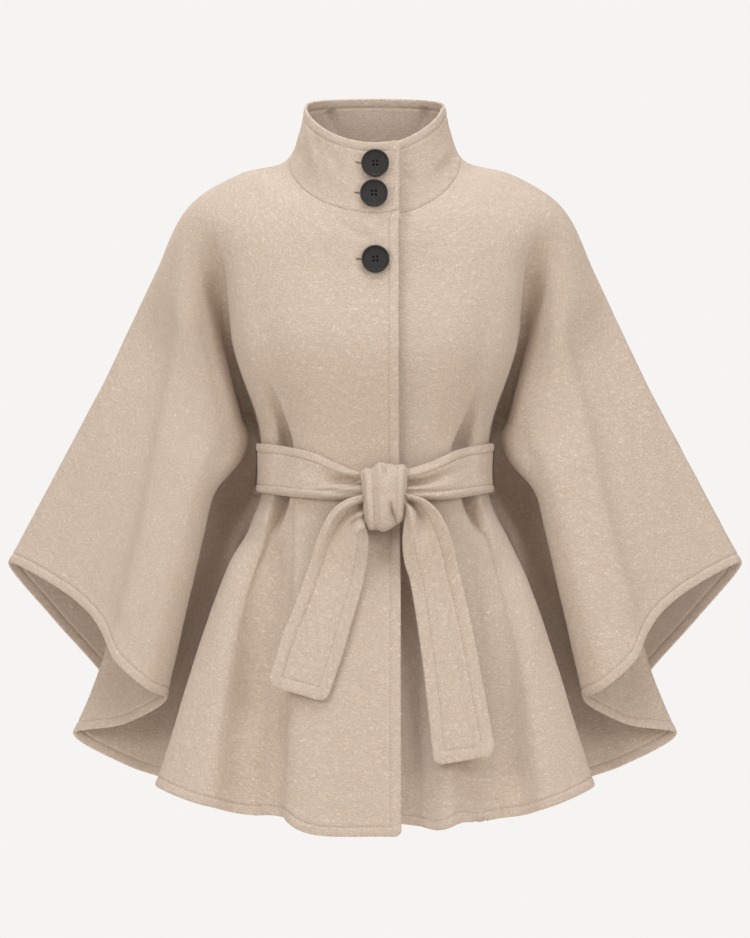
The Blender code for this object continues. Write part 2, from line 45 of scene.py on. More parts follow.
# Camera, lights and floor
studio = {
    "cameraAway": 5.0,  # metres in front of the garment
    "cameraHigh": -0.349,  # level with the middle of the photograph
    "photoWide": 750,
    "mmPerPixel": 1.123,  # at the depth of the neck
    "sensor": 36.0,
    "floorHigh": -1.5,
    "floorRadius": 4.0,
    "floorColour": "f4f2f0",
    "floorRough": 0.9,
    "backgroundColour": "f6f4f2",
    "glowColour": "ffebd8",  # light thrown back by the room
    "ambient": 0.47,
}
softLights = {  # place, what it points at, size and power
    "top": dict(place=(0, -0.9, 3.4), at=(0, 0, -0.35), size=2.6, watts=92, colour="f3f9ff"),
    "key": dict(place=(-2.5, -3.0, 1.1), at=(0, 0, -0.35), size=1.6, watts=40, colour="f7fbff"),
    "behind": dict(place=(-1.6, 3.2, 2.0), at=(0, 0, -0.35), size=2.2, watts=60, colour="ffffff"),
    "fill": dict(place=(2.5, -3.0, 1.1), at=(0, 0, -0.4), size=2.2, watts=43, colour="f7fbff"),
}


def toLinear(hexColour):  # sRGB hex to linear, with alpha 1
    parts = [int(hexColour[k : k + 2], 16) / 255 for k in (0, 2, 4)]
    return tuple(c / 12.92 if c <= 0.04045 else ((c + 0.055) / 1.055) ** 2.4 for c in parts) + (1,)


def addNode(tree, kind, links=None, **settings):  # one node; links go input name or number -> socket
    node = tree.nodes.new("ShaderNode" + kind)
    for key, value in settings.items():
        if hasattr(node, key):
            setattr(node, key, value)
        else:
            node.inputs[key].default_value = value
    for key, socket in (links or {}).items():
        tree.links.new(socket, node.inputs[key])
    return node


def newMaterial(name):
    material = bpy.data.materials.new(name)
    material.use_nodes = True
    tree = material.node_tree
    return material, tree, tree.nodes["Principled BSDF"]


def setInputs(node, values):
    for name, value in values.items():
        node.inputs[name].default_value = value


def makeStudio():
    camera = bpy.data.objects.new("camera", bpy.data.cameras.new("camera"))
    bpy.context.scene.collection.objects.link(camera)
    camera.location = (0, -studio["cameraAway"], studio["cameraHigh"])
    camera.rotation_euler = (math.radians(90), 0, 0)
    camera.data.sensor_fit = "HORIZONTAL"
    camera.data.sensor_width = studio["sensor"]
    photoAcross = studio["photoWide"] * studio["mmPerPixel"] * mm
    camera.data.lens = studio["sensor"] * studio["cameraAway"] / photoAcross
    bpy.context.scene.camera = camera
    for name, light in softLights.items():
        lamp = bpy.data.objects.new(name, bpy.data.lights.new(name, "AREA"))
        bpy.context.scene.collection.objects.link(lamp)
        lamp.data.size = light["size"]
        lamp.data.energy = light["watts"]
        lamp.data.color = toLinear(light["colour"])[:3]
        lamp.location = light["place"]
        toward = np.array(light["at"]) - np.array(light["place"])
        across = math.hypot(toward[0], toward[1])
        lamp.rotation_euler = (math.atan2(across, -toward[2]), 0, math.atan2(-toward[0], toward[1]))
    world = bpy.data.worlds.new("studio")
    world.use_nodes = True
    bpy.context.scene.world = world
    tree = world.node_tree
    seen = addNode(tree, "LightPath")
    backdrop = addNode(tree, "Background", Color=toLinear(studio["backgroundColour"]), Strength=1.0)
    glow = addNode(tree, "Background", Color=toLinear(studio["glowColour"]))
    glow.inputs["Strength"].default_value = studio["ambient"]
    links = {0: seen.outputs["Is Camera Ray"], 1: glow.outputs[0], 2: backdrop.outputs[0]}
    both = addNode(tree, "MixShader", links)
    tree.links.new(both.outputs[0], tree.nodes["World Output"].inputs["Surface"])
    bpy.ops.mesh.primitive_circle_add(
        vertices=96, radius=studio["floorRadius"], fill_type="NGON", location=(0, 0, studio["floorHigh"])
    )
    floor = bpy.context.object
    floor.name = "floor"
    paint, tree, shader = newMaterial("matt_painted_floor")  # pale and matt, so it only gives a soft shade
    setInputs(shader, {"Base Color": toLinear(studio["floorColour"]), "Roughness": studio["floorRough"]})
    floor.data.materials.append(paint)
    floor.select_set(False)


makeStudio()
bpy.context.scene.view_settings.view_transform = "Standard"  # keeps the wool's pale colour as it was measured
print("camera, lights and floor made")

# Materials
wool = {
    "lit": "c9b8a8",
    "shade": "c0ad9d",
    "strand": "dccebf",
    "fibreLong": 4.2,  # brushed fibres that lie together in locks of this length, coarser than life to show
    "fibreWide": 0.95,
    "fibreTurns": (38, 90, 142),  # degrees
    "lockCurl": 9.0,  # the locks bend over this length
    "lockBend": 13.0,
    "mottle": 26.0,  # cloudiness of the dye
    "pile": {"From Min": 0.49, "From Max": 0.71},  # how much of the pattern stands up as pale strands
    "pileHigh": 0.8,
    "surface": {
        "Roughness": 0.92,
        "IOR": 1.45,
        "Specular IOR Level": 0.2,
        "Sheen Weight": 0.25,
        "Sheen Roughness": 0.5,
    },
}


def makeWool():
    # melton wool, fulled and brushed: matt, with a felt of short pale fibres and a soft bright rim
    material, tree, shader = newMaterial("brushed_melton_wool")
    place = addNode(tree, "UVMap", uv_map="cloth").outputs[0]
    curl = addNode(tree, "TexNoise", {"Vector": place}, Scale=1 / wool["lockCurl"], Detail=1.0)
    bend = addNode(tree, "VectorMath", {0: curl.outputs["Color"]}, operation="SUBTRACT")
    bend.inputs[1].default_value = (0.5, 0.5, 0.5)
    bent = addNode(tree, "VectorMath", {0: bend.outputs[0]}, operation="SCALE", Scale=wool["lockBend"])
    moved = addNode(tree, "VectorMath", {0: place, 1: bent.outputs[0]}, operation="ADD")
    top = None
    for turn in wool["fibreTurns"]:
        lie = addNode(tree, "Mapping", {"Vector": moved.outputs[0]}, Rotation=(0, 0, math.radians(turn)))
        lie.inputs["Scale"].default_value = (1 / wool["fibreLong"], 1 / wool["fibreWide"], 1)
        strand = addNode(tree, "TexNoise", {"Vector": lie.outputs[0]}, Scale=1.0, Detail=1.0).outputs[0]
        if top is not None:
            strand = addNode(tree, "Math", {0: top, 1: strand}, operation="MAXIMUM").outputs[0]
        top = strand
    pile = addNode(tree, "MapRange", {"Value": top}, **wool["pile"]).outputs[0]
    cloud = addNode(tree, "TexNoise", {"Vector": place}, Scale=1 / wool["mottle"], Detail=3.0).outputs[0]
    shades = {"A": toLinear(wool["shade"]), "B": toLinear(wool["lit"])}
    ground = addNode(tree, "Mix", {"Factor": cloud}, data_type="RGBA", **shades).outputs["Result"]
    links = {"Factor": pile, "A": ground}
    colour = addNode(tree, "Mix", links, data_type="RGBA", B=toLinear(wool["strand"]))
    relief = addNode(tree, "Bump", {"Height": pile}, Strength=0.5, Distance=wool["pileHigh"] * mm)
    tree.links.new(colour.outputs["Result"], shader.inputs["Base Color"])
    tree.links.new(relief.outputs[0], shader.inputs["Normal"])
    setInputs(shader, wool["surface"])
    return material


# a lit and a shaded copy of the thread's colour, in bands along the twist: painted light and shade of its
# plies
thread = {"lit": "b9a693", "plyShade": "9c8976", "ply": 0.5, "surface": {"Roughness": 0.6, "Sheen Weight": 0.1}}


def makeThread():
    # polyester sewing thread dyed to match, a little darker and smoother than the wool; its lit and shaded
    # colours alternate in diagonal bands, painted light and shade of the twisted plies
    material, tree, shader = newMaterial("polyester_sewing_thread")
    place = addNode(tree, "UVMap", uv_map="cloth").outputs[0]
    ply = addNode(tree, "TexWave", {"Vector": place}, bands_direction="DIAGONAL", Scale=1 / thread["ply"])
    shades = {"A": toLinear(thread["plyShade"]), "B": toLinear(thread["lit"])}
    colour = addNode(tree, "Mix", {"Factor": ply.outputs["Fac"]}, data_type="RGBA", **shades)
    tree.links.new(colour.outputs["Result"], shader.inputs["Base Color"])
    setInputs(shader, thread["surface"])
    return material


# painted shade: dark browns that stand for the shadow inside a buttonhole's cut
slitShadeColours = {"deep": "4a3b30", "light": "8b7766", "fluff": 1.11, "rough": 0.95}  # fluff in millimetres


def makeSlitShade():
    # the cut edges inside a buttonhole, painted in dark wool browns as the shade in the gap
    material, tree, shader = newMaterial("buttonhole_slit_painted_shade")
    place = addNode(tree, "TexCoord").outputs["Object"]
    fluff = addNode(tree, "TexNoise", {"Vector": place}, Scale=1 / (slitShadeColours["fluff"] * mm), Detail=2.0)
    shades = {"A": toLinear(slitShadeColours["deep"]), "B": toLinear(slitShadeColours["light"])}
    colour = addNode(tree, "Mix", {"Factor": fluff.outputs[0]}, data_type="RGBA", **shades)
    tree.links.new(colour.outputs["Result"], shader.inputs["Base Color"])
    setInputs(shader, {"Roughness": slitShadeColours["rough"]})
    return material


blackResin = {
    "face": "1b1b1b",
    "worn": "262626",
    "cloud": 7.14,  # how far apart the rubbed places lie
    "grain": 0.385,
    "grainDeep": 0.1,
    "rough": {"To Min": 0.34, "To Max": 0.5},
}


def makePlastic():
    # moulded polyester resin: near black, satin, with a very fine turned grain and slightly rubbed high spots
    material, tree, shader = newMaterial("satin_black_resin")
    place = addNode(tree, "TexCoord").outputs["Object"]
    cloud = addNode(tree, "TexNoise", {"Vector": place}, Scale=1 / (blackResin["cloud"] * mm), Detail=4.0)
    grain = addNode(tree, "TexNoise", {"Vector": place}, Scale=1 / (blackResin["grain"] * mm), Detail=2.0)
    shades = {"A": toLinear(blackResin["face"]), "B": toLinear(blackResin["worn"])}
    colour = addNode(tree, "Mix", {"Factor": cloud.outputs[0]}, data_type="RGBA", **shades)
    rough = addNode(tree, "MapRange", {"Value": grain.outputs[0]}, **blackResin["rough"])
    links = {"Height": grain.outputs[0]}
    relief = addNode(tree, "Bump", links, Strength=0.12, Distance=blackResin["grainDeep"] * mm)
    for socket, name in ((colour.outputs["Result"], "Base Color"), (rough.outputs[0], "Roughness")):
        tree.links.new(socket, shader.inputs[name])
    tree.links.new(relief.outputs[0], shader.inputs["Normal"])
    return material


woolCloth, sewingThread, slitShade, buttonPlastic = makeWool(), makeThread(), makeSlitShade(), makePlastic()
print("materials made")

# The garment's surface, as in the solids: rings of fold lines at ten levels
garment = {
    "wall": 2.6,
    "seam": 0.1,  # the pieces meet more closely than the solids, which keep a clear gap
    "neckSeam": 0.02,
    "lap": 28.6,  # each front runs this far past the centre line
    "lapGap": 0.5,
    "lapFade": (32.0, 62.0),
    "slitFrom": 0.04,  # below the waist's level
    "underHemRise": 9.0,
    "underHemSpan": 80.0,
    "hipShare": 0.2,
    "hipSwell": {"frontRidge": 1.03, "skirtEdge": 1.05, "hiddenLeg": 1.04},
}
lapEdge = [  # how far below the neck, and how far past the centre the right front's edge shows there
    (-20, 28.6), (10, 28.6), (50, 26.9), (90, 26.3), (250, 26.0), (330, 26.6), (460, 27.8), (760, 28.6),
]
levels = ("rim", "stand", "neck", "shoulder", "yoke", "chest", "waist", "belt", "hip", "hem")
neck, waist, belt, hip, hem = (levels.index(name) for name in ("neck", "waist", "belt", "hip", "hem"))
roundRings = {  # half width, depth in front and behind, height at front, side and back, how the height runs
    "rim": dict(half=78.6, front=78, back=62, high=(12.6, 57, 72), run=(1.3, 0.6)),
    "stand": dict(half=85, front=84, back=66, high=(-27, 29, 37), run=(1.0, 0.8)),
    "neck": dict(half=97, front=92, back=72, high=(-66, 0, 5), run=(1.0, 1.0)),
    "shoulder": dict(half=150, front=100, back=88, high=(-94, -17, -20), run=(1.6, 1.6)),
    "yoke": dict(half=205, front=106, back=98, high=(-126, -50, -66), run=(2.0, 2.0)),
}
foldColumns = ("turn", "chest", "waist", "belt", "hem")  # then out, deep (+ is back) and high at each level
folds = {
    "centreFront": (0, (0, -130, -214), (0, -110, -326), (0, -110, -383), (0, -190, -746)),
    "frontPanel": (14, (66, -126, -211), (70, -104, -325), (78, -104, -386), (84, -187, -739)),
    "frontFold": (20, (90, -119, -210), (84, -94, -324), (92, -94, -385), (102, -166, -727)),
    "frontTuck": (26, (114, -106, -207), (97, -82, -323), (103, -84, -383), (137, -150, -724)),
    "frontRidge": (34.5, (134, -91, -205), (112, -74, -322), (115, -73, -381), (191, -164, -713)),
    "skirtEdge": (44, (147, -66, -202), (125, -48, -320), (126, -46, -380), (241, -118, -696)),
    "hiddenLeg": (48, (150, -45, -199), (127.5, -16, -319), (127.5, -16, -379), (226, -84, -700)),
    "valleyNear": (51, (152, -30, -197), (127.5, 8, -318), (127.5, 8, -379), (206, -50, -702)),
    "valleyFar": (53, (157, -21, -195), (135, 16, -317), (136, 18, -378), (277, -28, -680)),
    "innerTurn": (55.5, (163, -18, -193), (144, 17, -315), (202, 6, -362), (335, -36, -645)),
    "innerLeg": (58, (169, -20, -190), (150, 7, -314), (193, -18, -359), (277, -60, -632)),
    "wingEdge": (61, (177, -25, -186), (150, -14, -314), (180, -50, -379), (230, -86, -602)),
    "wingRoll": (65, (190, -34, -178), (160, -34, -300), (194, -68, -355), (248, -110, -592)),
    "wingFront": (69.5, (204, -39, -170), (179, -42, -277), (217, -62, -335), (289, -104, -557)),
    "wingRidge": (73, (218, -38, -160), (207, -40, -250), (237, -48, -315), (303, -80, -529)),
    "wingSide": (77, (230, -29, -149), (232, -26, -222), (261, -28, -295), (326, -50, -502)),
    "wingLip": (82, (240, -14, -138), (255, -6, -198), (286, -10, -274), (369, -24, -473)),
    "wingTip": (90, (248, 10, -131), (272, 10, -182), (308, 8, -258), (412, 5, -454)),
    "backLip": (100, (238, 34, -140), (250, 38, -196), (278, 40, -285), (369, 45, -514)),
    "backSide": (110, (215, 58, -154), (222, 62, -216), (243, 70, -311), (325, 80, -567)),
    "backFlute": (120, (182, 80, -168), (188, 84, -240), (204, 96, -333), (282, 120, -621)),
    "backHollow": (132, (144, 98, -180), (150, 102, -258), (158, 112, -353), (220, 142, -668)),
    "backSwell": (147, (98, 112, -188), (104, 120, -270), (106, 134, -367), (160, 196, -702)),
    "backPanel": (163, (50, 120, -193), (54, 126, -278), (53, 134, -373), (82, 180, -719)),
    "centreBack": (180, (0, 122, -195), (0, 130, -281), (0, 144, -378), (0, 214, -733)),
}
foldNames = list(folds)
tip, tuck, back = (foldNames.index(name) for name in ("wingTip", "frontTuck", "centreBack"))
around = 2 * back  # fold lines round the whole garment
slit = (foldNames.index("valleyNear"), foldNames.index("valleyFar"))  # the belt passes in here


def roundRingPoint(ring, turn):
    across, along = math.sin(math.radians(turn)), math.cos(math.radians(turn))
    front, side, rear = ring["high"]
    if along >= 0:
        return ring["half"] * across, -ring["front"] * along, side + (front - side) * along ** ring["run"][0]
    return ring["half"] * across, -ring["back"] * along, side + (rear - side) * (-along) ** ring["run"][1]


def hipPoint(beltPoint, hemPoint, swell):
    out, deep, high = (a + (b - a) * garment["hipShare"] for a, b in zip(beltPoint, hemPoint))
    return out * swell, deep * swell, high


def foldLines():  # points [level, fold], the viewer's left half and then the right half back
    half = []
    for name, row in folds.items():
        fold = dict(zip(foldColumns, row))
        fold["hip"] = hipPoint(fold["belt"], fold["hem"], garment["hipSwell"].get(name, 1))
        fold.update({level: roundRingPoint(ring, fold["turn"]) for level, ring in roundRings.items()})
        line = [fold[level] for level in levels]
        half.append([(-out, deep, high) for out, deep, high in line])
    other = [[(-x, y, z) for x, y, z in line] for line in half[-2:0:-1]]
    return np.array(half + other, float).transpose(1, 0, 2)


def length(vectors):
    return np.linalg.norm(vectors, axis=-1, keepdims=True)


def unit(vectors):
    return vectors / np.maximum(length(vectors), 1e-9)


def gapsAndTangents(points):  # of curves that run along the first axis
    gaps = length(np.diff(points, axis=0))
    slopes = np.diff(points, axis=0) / gaps
    tangents = np.empty_like(points)
    tangents[0], tangents[-1] = slopes[0], slopes[-1]
    tangents[1:-1] = (slopes[:-1] * gaps[1:] + slopes[1:] * gaps[:-1]) / (gaps[1:] + gaps[:-1])
    return gaps, tangents


def hermite(part, start, end, lead, trail, gap):
    squared, cubed = part**2, part**3
    return (
        (2 * cubed - 3 * squared + 1) * start
        + (cubed - 2 * squared + part) * gap * lead
        + (3 * squared - 2 * cubed) * end
        + (cubed - squared) * gap * trail
    )


def smoothCurve(points, places):  # a curve through points, read at places: 3.5 is halfway from 3 to 4
    points = np.asarray(points, float)
    gaps, tangents = gapsAndTangents(points)
    places = np.asarray(places, float)
    first = np.clip(np.floor(places).astype(int), 0, len(points) - 2)
    part = (places - first).reshape(places.shape + (1,) * (points.ndim - 1))
    return hermite(part, points[first], points[first + 1], tangents[first], tangents[first + 1], gaps[first])


def curveColumns(table, steps=200):  # a smooth curve through a table's rows, as one array for each column
    return smoothCurve(table, np.linspace(0, len(table) - 1, steps)).T


foldPoints = foldLines()
foldGaps, foldTangents = gapsAndTangents(foldPoints)


def onFold(fold, down):
    first = np.clip(np.floor(down).astype(int), 0, len(levels) - 2)
    part = (down - first)[..., None]
    ends = [at[first + step, fold] for at in (foldPoints, foldTangents) for step in (0, 1)]
    return hermite(part, *ends, foldGaps[first, fold])


def surface(across, down):  # outer points at fold places and level places
    first = np.floor(across).astype(int)
    near = [onFold((first + step) % around, down) for step in (-1, 0, 1, 2)]
    gaps = [length(b - a) for a, b in zip(near, near[1:])]
    slopes = [(b - a) / gap for a, b, gap in zip(near, near[1:], gaps)]
    lead = (slopes[0] * gaps[1] + slopes[1] * gaps[0]) / (gaps[0] + gaps[1])
    trail = (slopes[1] * gaps[2] + slopes[2] * gaps[1]) / (gaps[1] + gaps[2])
    return hermite((across - first)[..., None], near[1], near[2], lead, trail, gaps[1])


def directions(across, down, step=0.02):  # outward, along and down the cloth
    along = surface(across + step, down) - surface(across - step, down)
    low, high = np.minimum(down + step, hem), np.maximum(down - step, 0)
    fall = surface(across, low) - surface(across, high)
    return unit(np.cross(along, fall)), unit(along), unit(fall)


def lapAt(down):  # how far past the centre line a front reaches at this level
    high = -float(surface(np.zeros(1), np.array([float(down)]))[0, 2])
    return float(np.interp(high, [row[0] for row in lapEdge], [row[1] for row in lapEdge]))


def placeAtX(wanted, down):  # the fold place near the centre front where x is wanted
    tries = np.linspace(-3, 3, 241)
    return float(np.interp(-wanted, -surface(tries, np.full(len(tries), float(down)))[:, 0], tries))


def smoothStep(low, high, value):
    part = np.clip((value - low) / (high - low), 0, 1)
    return part * part * (3 - 2 * part)


def bump(value, middle, half):  # a soft hump, 1 at the middle
    return np.exp(-(((value - middle) / half) ** 2))


def padded(share):  # how full cloth is between an edge (0) and the stitching beside it (1)
    return np.sin(np.pi * np.clip(share, 0, 1)) ** 0.7


def runs(grid):  # distances along each row and down each column of a grid
    across = np.zeros(grid.shape[:2])
    across[:, 1:] = np.cumsum(length(np.diff(grid, axis=1))[..., 0], axis=1)
    down = np.zeros(grid.shape[:2])
    down[1:] = np.cumsum(length(np.diff(grid, axis=0))[..., 0], axis=0)
    return across, down


def areaOf(grid):  # in square metres
    cells = np.cross(np.diff(grid, axis=1)[:-1], np.diff(grid, axis=0)[:, :-1])
    return float(np.sum(length(cells))) * mm * mm


# Sheets of cloth: a wall between two grids of points, rounded where an edge is turned
sheetEdge = {
    "stitchIn": {"hem": 10.4, "front": 11.6, "collar": 10.2},  # from each turned edge to its stitching
    "turnRound": 1.6,  # a turned edge is rounded by this much
    "seamRound": 0.35,
    "groove": 0.6,  # depth and half width of the dent that the stitching pulls in
    "grooveHalf": 1.25,
    "puff": {"hem": 0.65, "front": 0.8, "collar": 0.5},  # a turned edge is fuller than the cloth beside it
    "pastStitch": 3.0,  # and half as full again this far past its stitching
    "pastHalf": 2.4,
    "fade": (30.0, 40.0),
    "roundSteps": 5,
    "corner": 6.0,  # radius where two turned edges meet
}
edgeShares = (0.0, 0.1, 0.25, 0.45, 0.66, 0.84, 0.92, 1.0, 1.08, 1.18, 1.34, 1.6, 1.9)  # 1: the stitching
stitchLine = edgeShares.index(1.0)


def edgeDistances(kind):  # mesh lines beside a turned edge, close together along its stitching
    start = sheetEdge["turnRound"]
    return [start + share * (sheetEdge["stitchIn"][kind] - start) for share in edgeShares]


def stitchedEdge(distance, kind):  # how much thicker each side of the wall is, this far from a turned edge
    inside, puff = sheetEdge["stitchIn"][kind], sheetEdge["puff"][kind]
    dent = bump(distance, inside, sheetEdge["grooveHalf"])
    past = bump(distance, inside + sheetEdge["pastStitch"], sheetEdge["pastHalf"])
    swell = puff * padded(distance / inside) - sheetEdge["groove"] * dent + puff / 2 * past
    return swell * (1 - smoothStep(*sheetEdge["fade"], distance))


def addMesh(name, points, faces, flat, material):
    mesh = bpy.data.meshes.new(name)
    mesh.from_pydata((np.asarray(points) * mm).tolist(), [], faces)
    corner = np.empty(len(mesh.loops), np.int32)
    mesh.loops.foreach_get("vertex_index", corner)
    layer = mesh.uv_layers.new(name="cloth")
    layer.data.foreach_set("uv", np.asarray(flat, np.float32)[corner].ravel())
    mesh.shade_smooth()
    piece = bpy.data.objects.new(name, mesh)
    bpy.context.scene.collection.objects.link(piece)
    mesh.materials.append(material)
    return piece


def closedSheet(name, outer, inner, away, swell, flat, hole=None):
    # away and swell give each border point's direction and how far the wall rounds out there
    rows, columns = outer.shape[:2]
    cells = np.ones((rows - 1, columns - 1), bool)
    if hole is not None:
        cells &= ~hole
    count = rows * columns
    index = np.arange(count).reshape(rows, columns)
    used = np.argwhere(cells)
    r, c = used[:, 0], used[:, 1]
    corners = np.stack([index[r, c], index[r + 1, c], index[r + 1, c + 1], index[r, c + 1]], axis=1)
    faces = corners.tolist() + (corners[:, ::-1] + count).tolist()
    edges = np.concatenate([corners[:, [k, (k + 1) % 4]] for k in range(4)])
    keys = {(a, b) for a, b in edges.tolist()}
    border = [(a, b) for a, b in sorted(keys) if (b, a) not in keys]
    rim = sorted({a for edge in border for a in edge})
    steps = sheetEdge["roundSteps"]
    first = 2 * count
    place = {a: first + k * steps for k, a in enumerate(rim)}
    o, i = outer.reshape(-1, 3)[rim], inner.reshape(-1, 3)[rim]
    middle, half = (o + i) / 2, (o - i) / 2
    push = away.reshape(-1, 3)[rim] * swell.reshape(-1)[rim][:, None]
    turned = np.empty((len(rim), steps, 3))
    for k in range(steps):
        angle = math.pi * (k + 1) / (steps + 1)
        turned[:, k] = middle + half * math.cos(angle) + push * math.sin(angle)
    for a, b in border:
        left = [a] + [place[a] + k for k in range(steps)] + [a + count]
        right = [b] + [place[b] + k for k in range(steps)] + [b + count]
        faces += [(right[k], left[k], left[k + 1], right[k + 1]) for k in range(steps + 1)]
    flatRows = flat.reshape(-1, 2)
    points = np.concatenate([outer.reshape(-1, 3), inner.reshape(-1, 3), turned.reshape(-1, 3)])
    flats = np.concatenate([flatRows, flatRows, np.repeat(flatRows[rim], steps, axis=0)])
    keep = np.zeros(len(points), bool)
    keep[np.unique(corners)] = keep[np.unique(corners) + count] = True
    keep[first:] = True
    renumber = np.cumsum(keep) - 1
    faces = [renumber[list(face)].tolist() for face in faces]
    return addMesh(name, points[keep], faces, flats[keep], woolCloth)


def closedTube(name, grid, flat):  # sections [place, round], closed both ways
    rings, steps = grid.shape[:2]
    index = np.arange(rings * steps).reshape(rings, steps)
    ahead, beside = np.roll(index, -1, axis=0), np.roll(index, -1, axis=1)
    both = np.roll(ahead, -1, axis=1)
    faces = np.stack([index, beside, both, ahead], axis=-1).reshape(-1, 4).tolist()
    return addMesh(name, grid.reshape(-1, 3), faces, flat.reshape(-1, 2), woolCloth)


def crease(deep, wide, fade, *line):
    # a trough (deep < 0) or a ridge along a line of x and z in the front view; wide is how far it reaches to
    # its right and left, going along it, and fade is the share of it that softens at its start and end
    return dict(deep=deep, wide=wide, fade=fade, line=line)


def withMirrored(creases):  # the same on the garment's other half too
    other = [crease(c["deep"], c["wide"][::-1], c["fade"], *[(-x, z) for x, z in c["line"]]) for c in creases]
    return creases + other


def creaseRelief(points, creases, steps=24):
    total = np.zeros(points.shape[:-1])
    flat = points[..., (0, 2)]
    for one in creases:
        line = smoothCurve(one["line"], np.linspace(0, len(one["line"]) - 1, steps + 1))
        best = np.full(total.shape, np.inf)
        along, side = np.zeros(total.shape), np.zeros(total.shape)
        for k, (a, b) in enumerate(zip(line, line[1:])):
            span = b - a
            free = ((flat - a) @ span) / (span @ span)
            part = np.clip(free, 0, 1)
            off = flat - (a + part[..., None] * span)
            far = np.hypot(off[..., 0], off[..., 1])
            nearer = far < best
            best[nearer] = far[nearer]
            along[nearer] = (k + part[nearer]) / steps
            side[nearer] = (span[0] * off[..., 1] - span[1] * off[..., 0])[nearer]
        right, left = one["wide"]
        wide = np.where(side < 0, right, left)
        profile = (1 + np.cos(np.pi * np.clip(best / wide, 0, 1))) / 2
        fadeIn, fadeOut = one["fade"]
        shown = smoothStep(0, fadeIn, along) * (1 - smoothStep(1 - fadeOut, 1, along))
        total += one["deep"] * profile * shown
    return total


clothWaves = {"count": 5, "turn": 2.4, "shortest": 0.7, "longer": 0.23, "shift": 1.7}


def softWaves(u, v, size, seed):  # slow unevenness of the cloth, of unit height: a few waves that cross
    total = np.zeros(u.shape)
    for k in range(clothWaves["count"]):
        angle = seed + clothWaves["turn"] * k
        wave = size * (clothWaves["shortest"] + clothWaves["longer"] * k)
        run = (u * math.cos(angle) + v * math.sin(angle)) * 2 * math.pi / wave
        total += np.sin(run + clothWaves["shift"] * k * seed)
    return total / clothWaves["count"]


def roundCorner(outer, away, one, other, radius=sheetEdge["corner"]):
    # one and other: (distance from a turned edge, unit direction inward from it, the edge's border mask)
    p, q = (np.clip(1 - far / radius, 0, 1) for far, _, _ in (one, other))
    inside = (p > 0) & (q > 0)
    shrink = np.maximum(p, q) / np.maximum(np.hypot(p, q), 1e-9)
    move = one[1] * (radius * p * (1 - shrink))[..., None] + other[1] * (radius * q * (1 - shrink))[..., None]
    outer[inside] += move[inside]
    turned = inside & (one[2] | other[2])
    away[turned] = -(one[1] * p[..., None] + other[1] * q[..., None])[turned]


def hollowRelief(points, across):  # between the skirt's edge and the wing, where the fronts sink in
    fold = np.minimum(across, around - across)
    leg, turn, edge = (foldNames.index(name) for name in ("hiddenLeg", "innerTurn", "wingEdge"))
    start, full, past = hollow["floorFrom"], hollow["floorFull"], hollow["pastTurn"]
    floor = smoothStep(leg + start, leg + full, fold) * (1 - smoothStep(turn + past, edge, fold))
    wing = smoothStep(turn + past, edge - past, fold) * (fold < tip)
    return creaseRelief(points, hollowCreases) * floor + creaseRelief(points, wingEdgeCreases) * wing


def makePanel(name, across, down, ends, creases, depth=None, hole=None):
    # ends: the seam or the kind of turned edge at the left, right, top and bottom
    outer = surface(across, down)
    out, along, fall = directions(across, down)
    u, v = runs(outer)
    shift = creaseRelief(outer, creases) + hollowRelief(outer, across)
    waves = softWaves(u, v, panels["waveSize"], len(name)) * smoothStep(0, panels["waveStart"], v)
    shift += panels["waves"] * waves
    if depth is not None:
        shift -= depth(outer, across)
    square = unit(np.cross(out, along))  # down the cloth, square to its rows
    far = {"left": u, "right": u[:, -1:] - u, "top": v - v[:1], "bottom": v[-1:] - v}
    for end, row in (("top", 0), ("bottom", -1)):
        far[end] = far[end] * np.abs(np.sum(fall[row] * square[row], axis=-1))
    inward = {"left": along, "right": -along, "top": square, "bottom": -square}
    at = {"left": np.s_[:, 0], "right": np.s_[:, -1], "top": np.s_[0], "bottom": np.s_[-1]}
    nearest, thick = np.full(u.shape, np.inf), np.zeros(u.shape)
    away, swell, turned = np.zeros(outer.shape), np.zeros(u.shape), {}
    for end, kind in ends.items():
        border = np.zeros(u.shape, bool)
        border[at[end]] = True
        away[at[end]] -= inward[end][at[end]]
        if kind in sheetEdge["stitchIn"]:
            distance = far[end] + sheetEdge["turnRound"]
            thick = np.where(distance < nearest, stitchedEdge(distance, kind), thick)
            nearest = np.minimum(nearest, distance)
            swell[at[end]] = sheetEdge["turnRound"]
            turned[end] = (far[end], inward[end], border)
        else:
            swell[at[end]] = np.maximum(swell[at[end]], sheetEdge["seamRound"])
            outer[at[end]] += inward[end][at[end]] * (garment[kind] / 2 + sheetEdge["seamRound"])
    for side in ("left", "right"):
        for end in ("top", "bottom"):
            if side in turned and end in turned:
                roundCorner(outer, away, turned[side], turned[end])
    outer += out * shift[..., None]
    inner = outer - out * (garment["wall"] + thick[..., None])
    outer += out * thick[..., None]
    piece = closedSheet(name, outer, inner, unit(away), swell, np.stack([u, v], axis=-1), hole)
    print(name, "faces", len(piece.data.polygons))
    wide, long = float(u.max()), float(v.max())
    return dict(piece=piece, outer=outer, inner=inner, out=out, area=areaOf(outer), wide=wide, long=long)


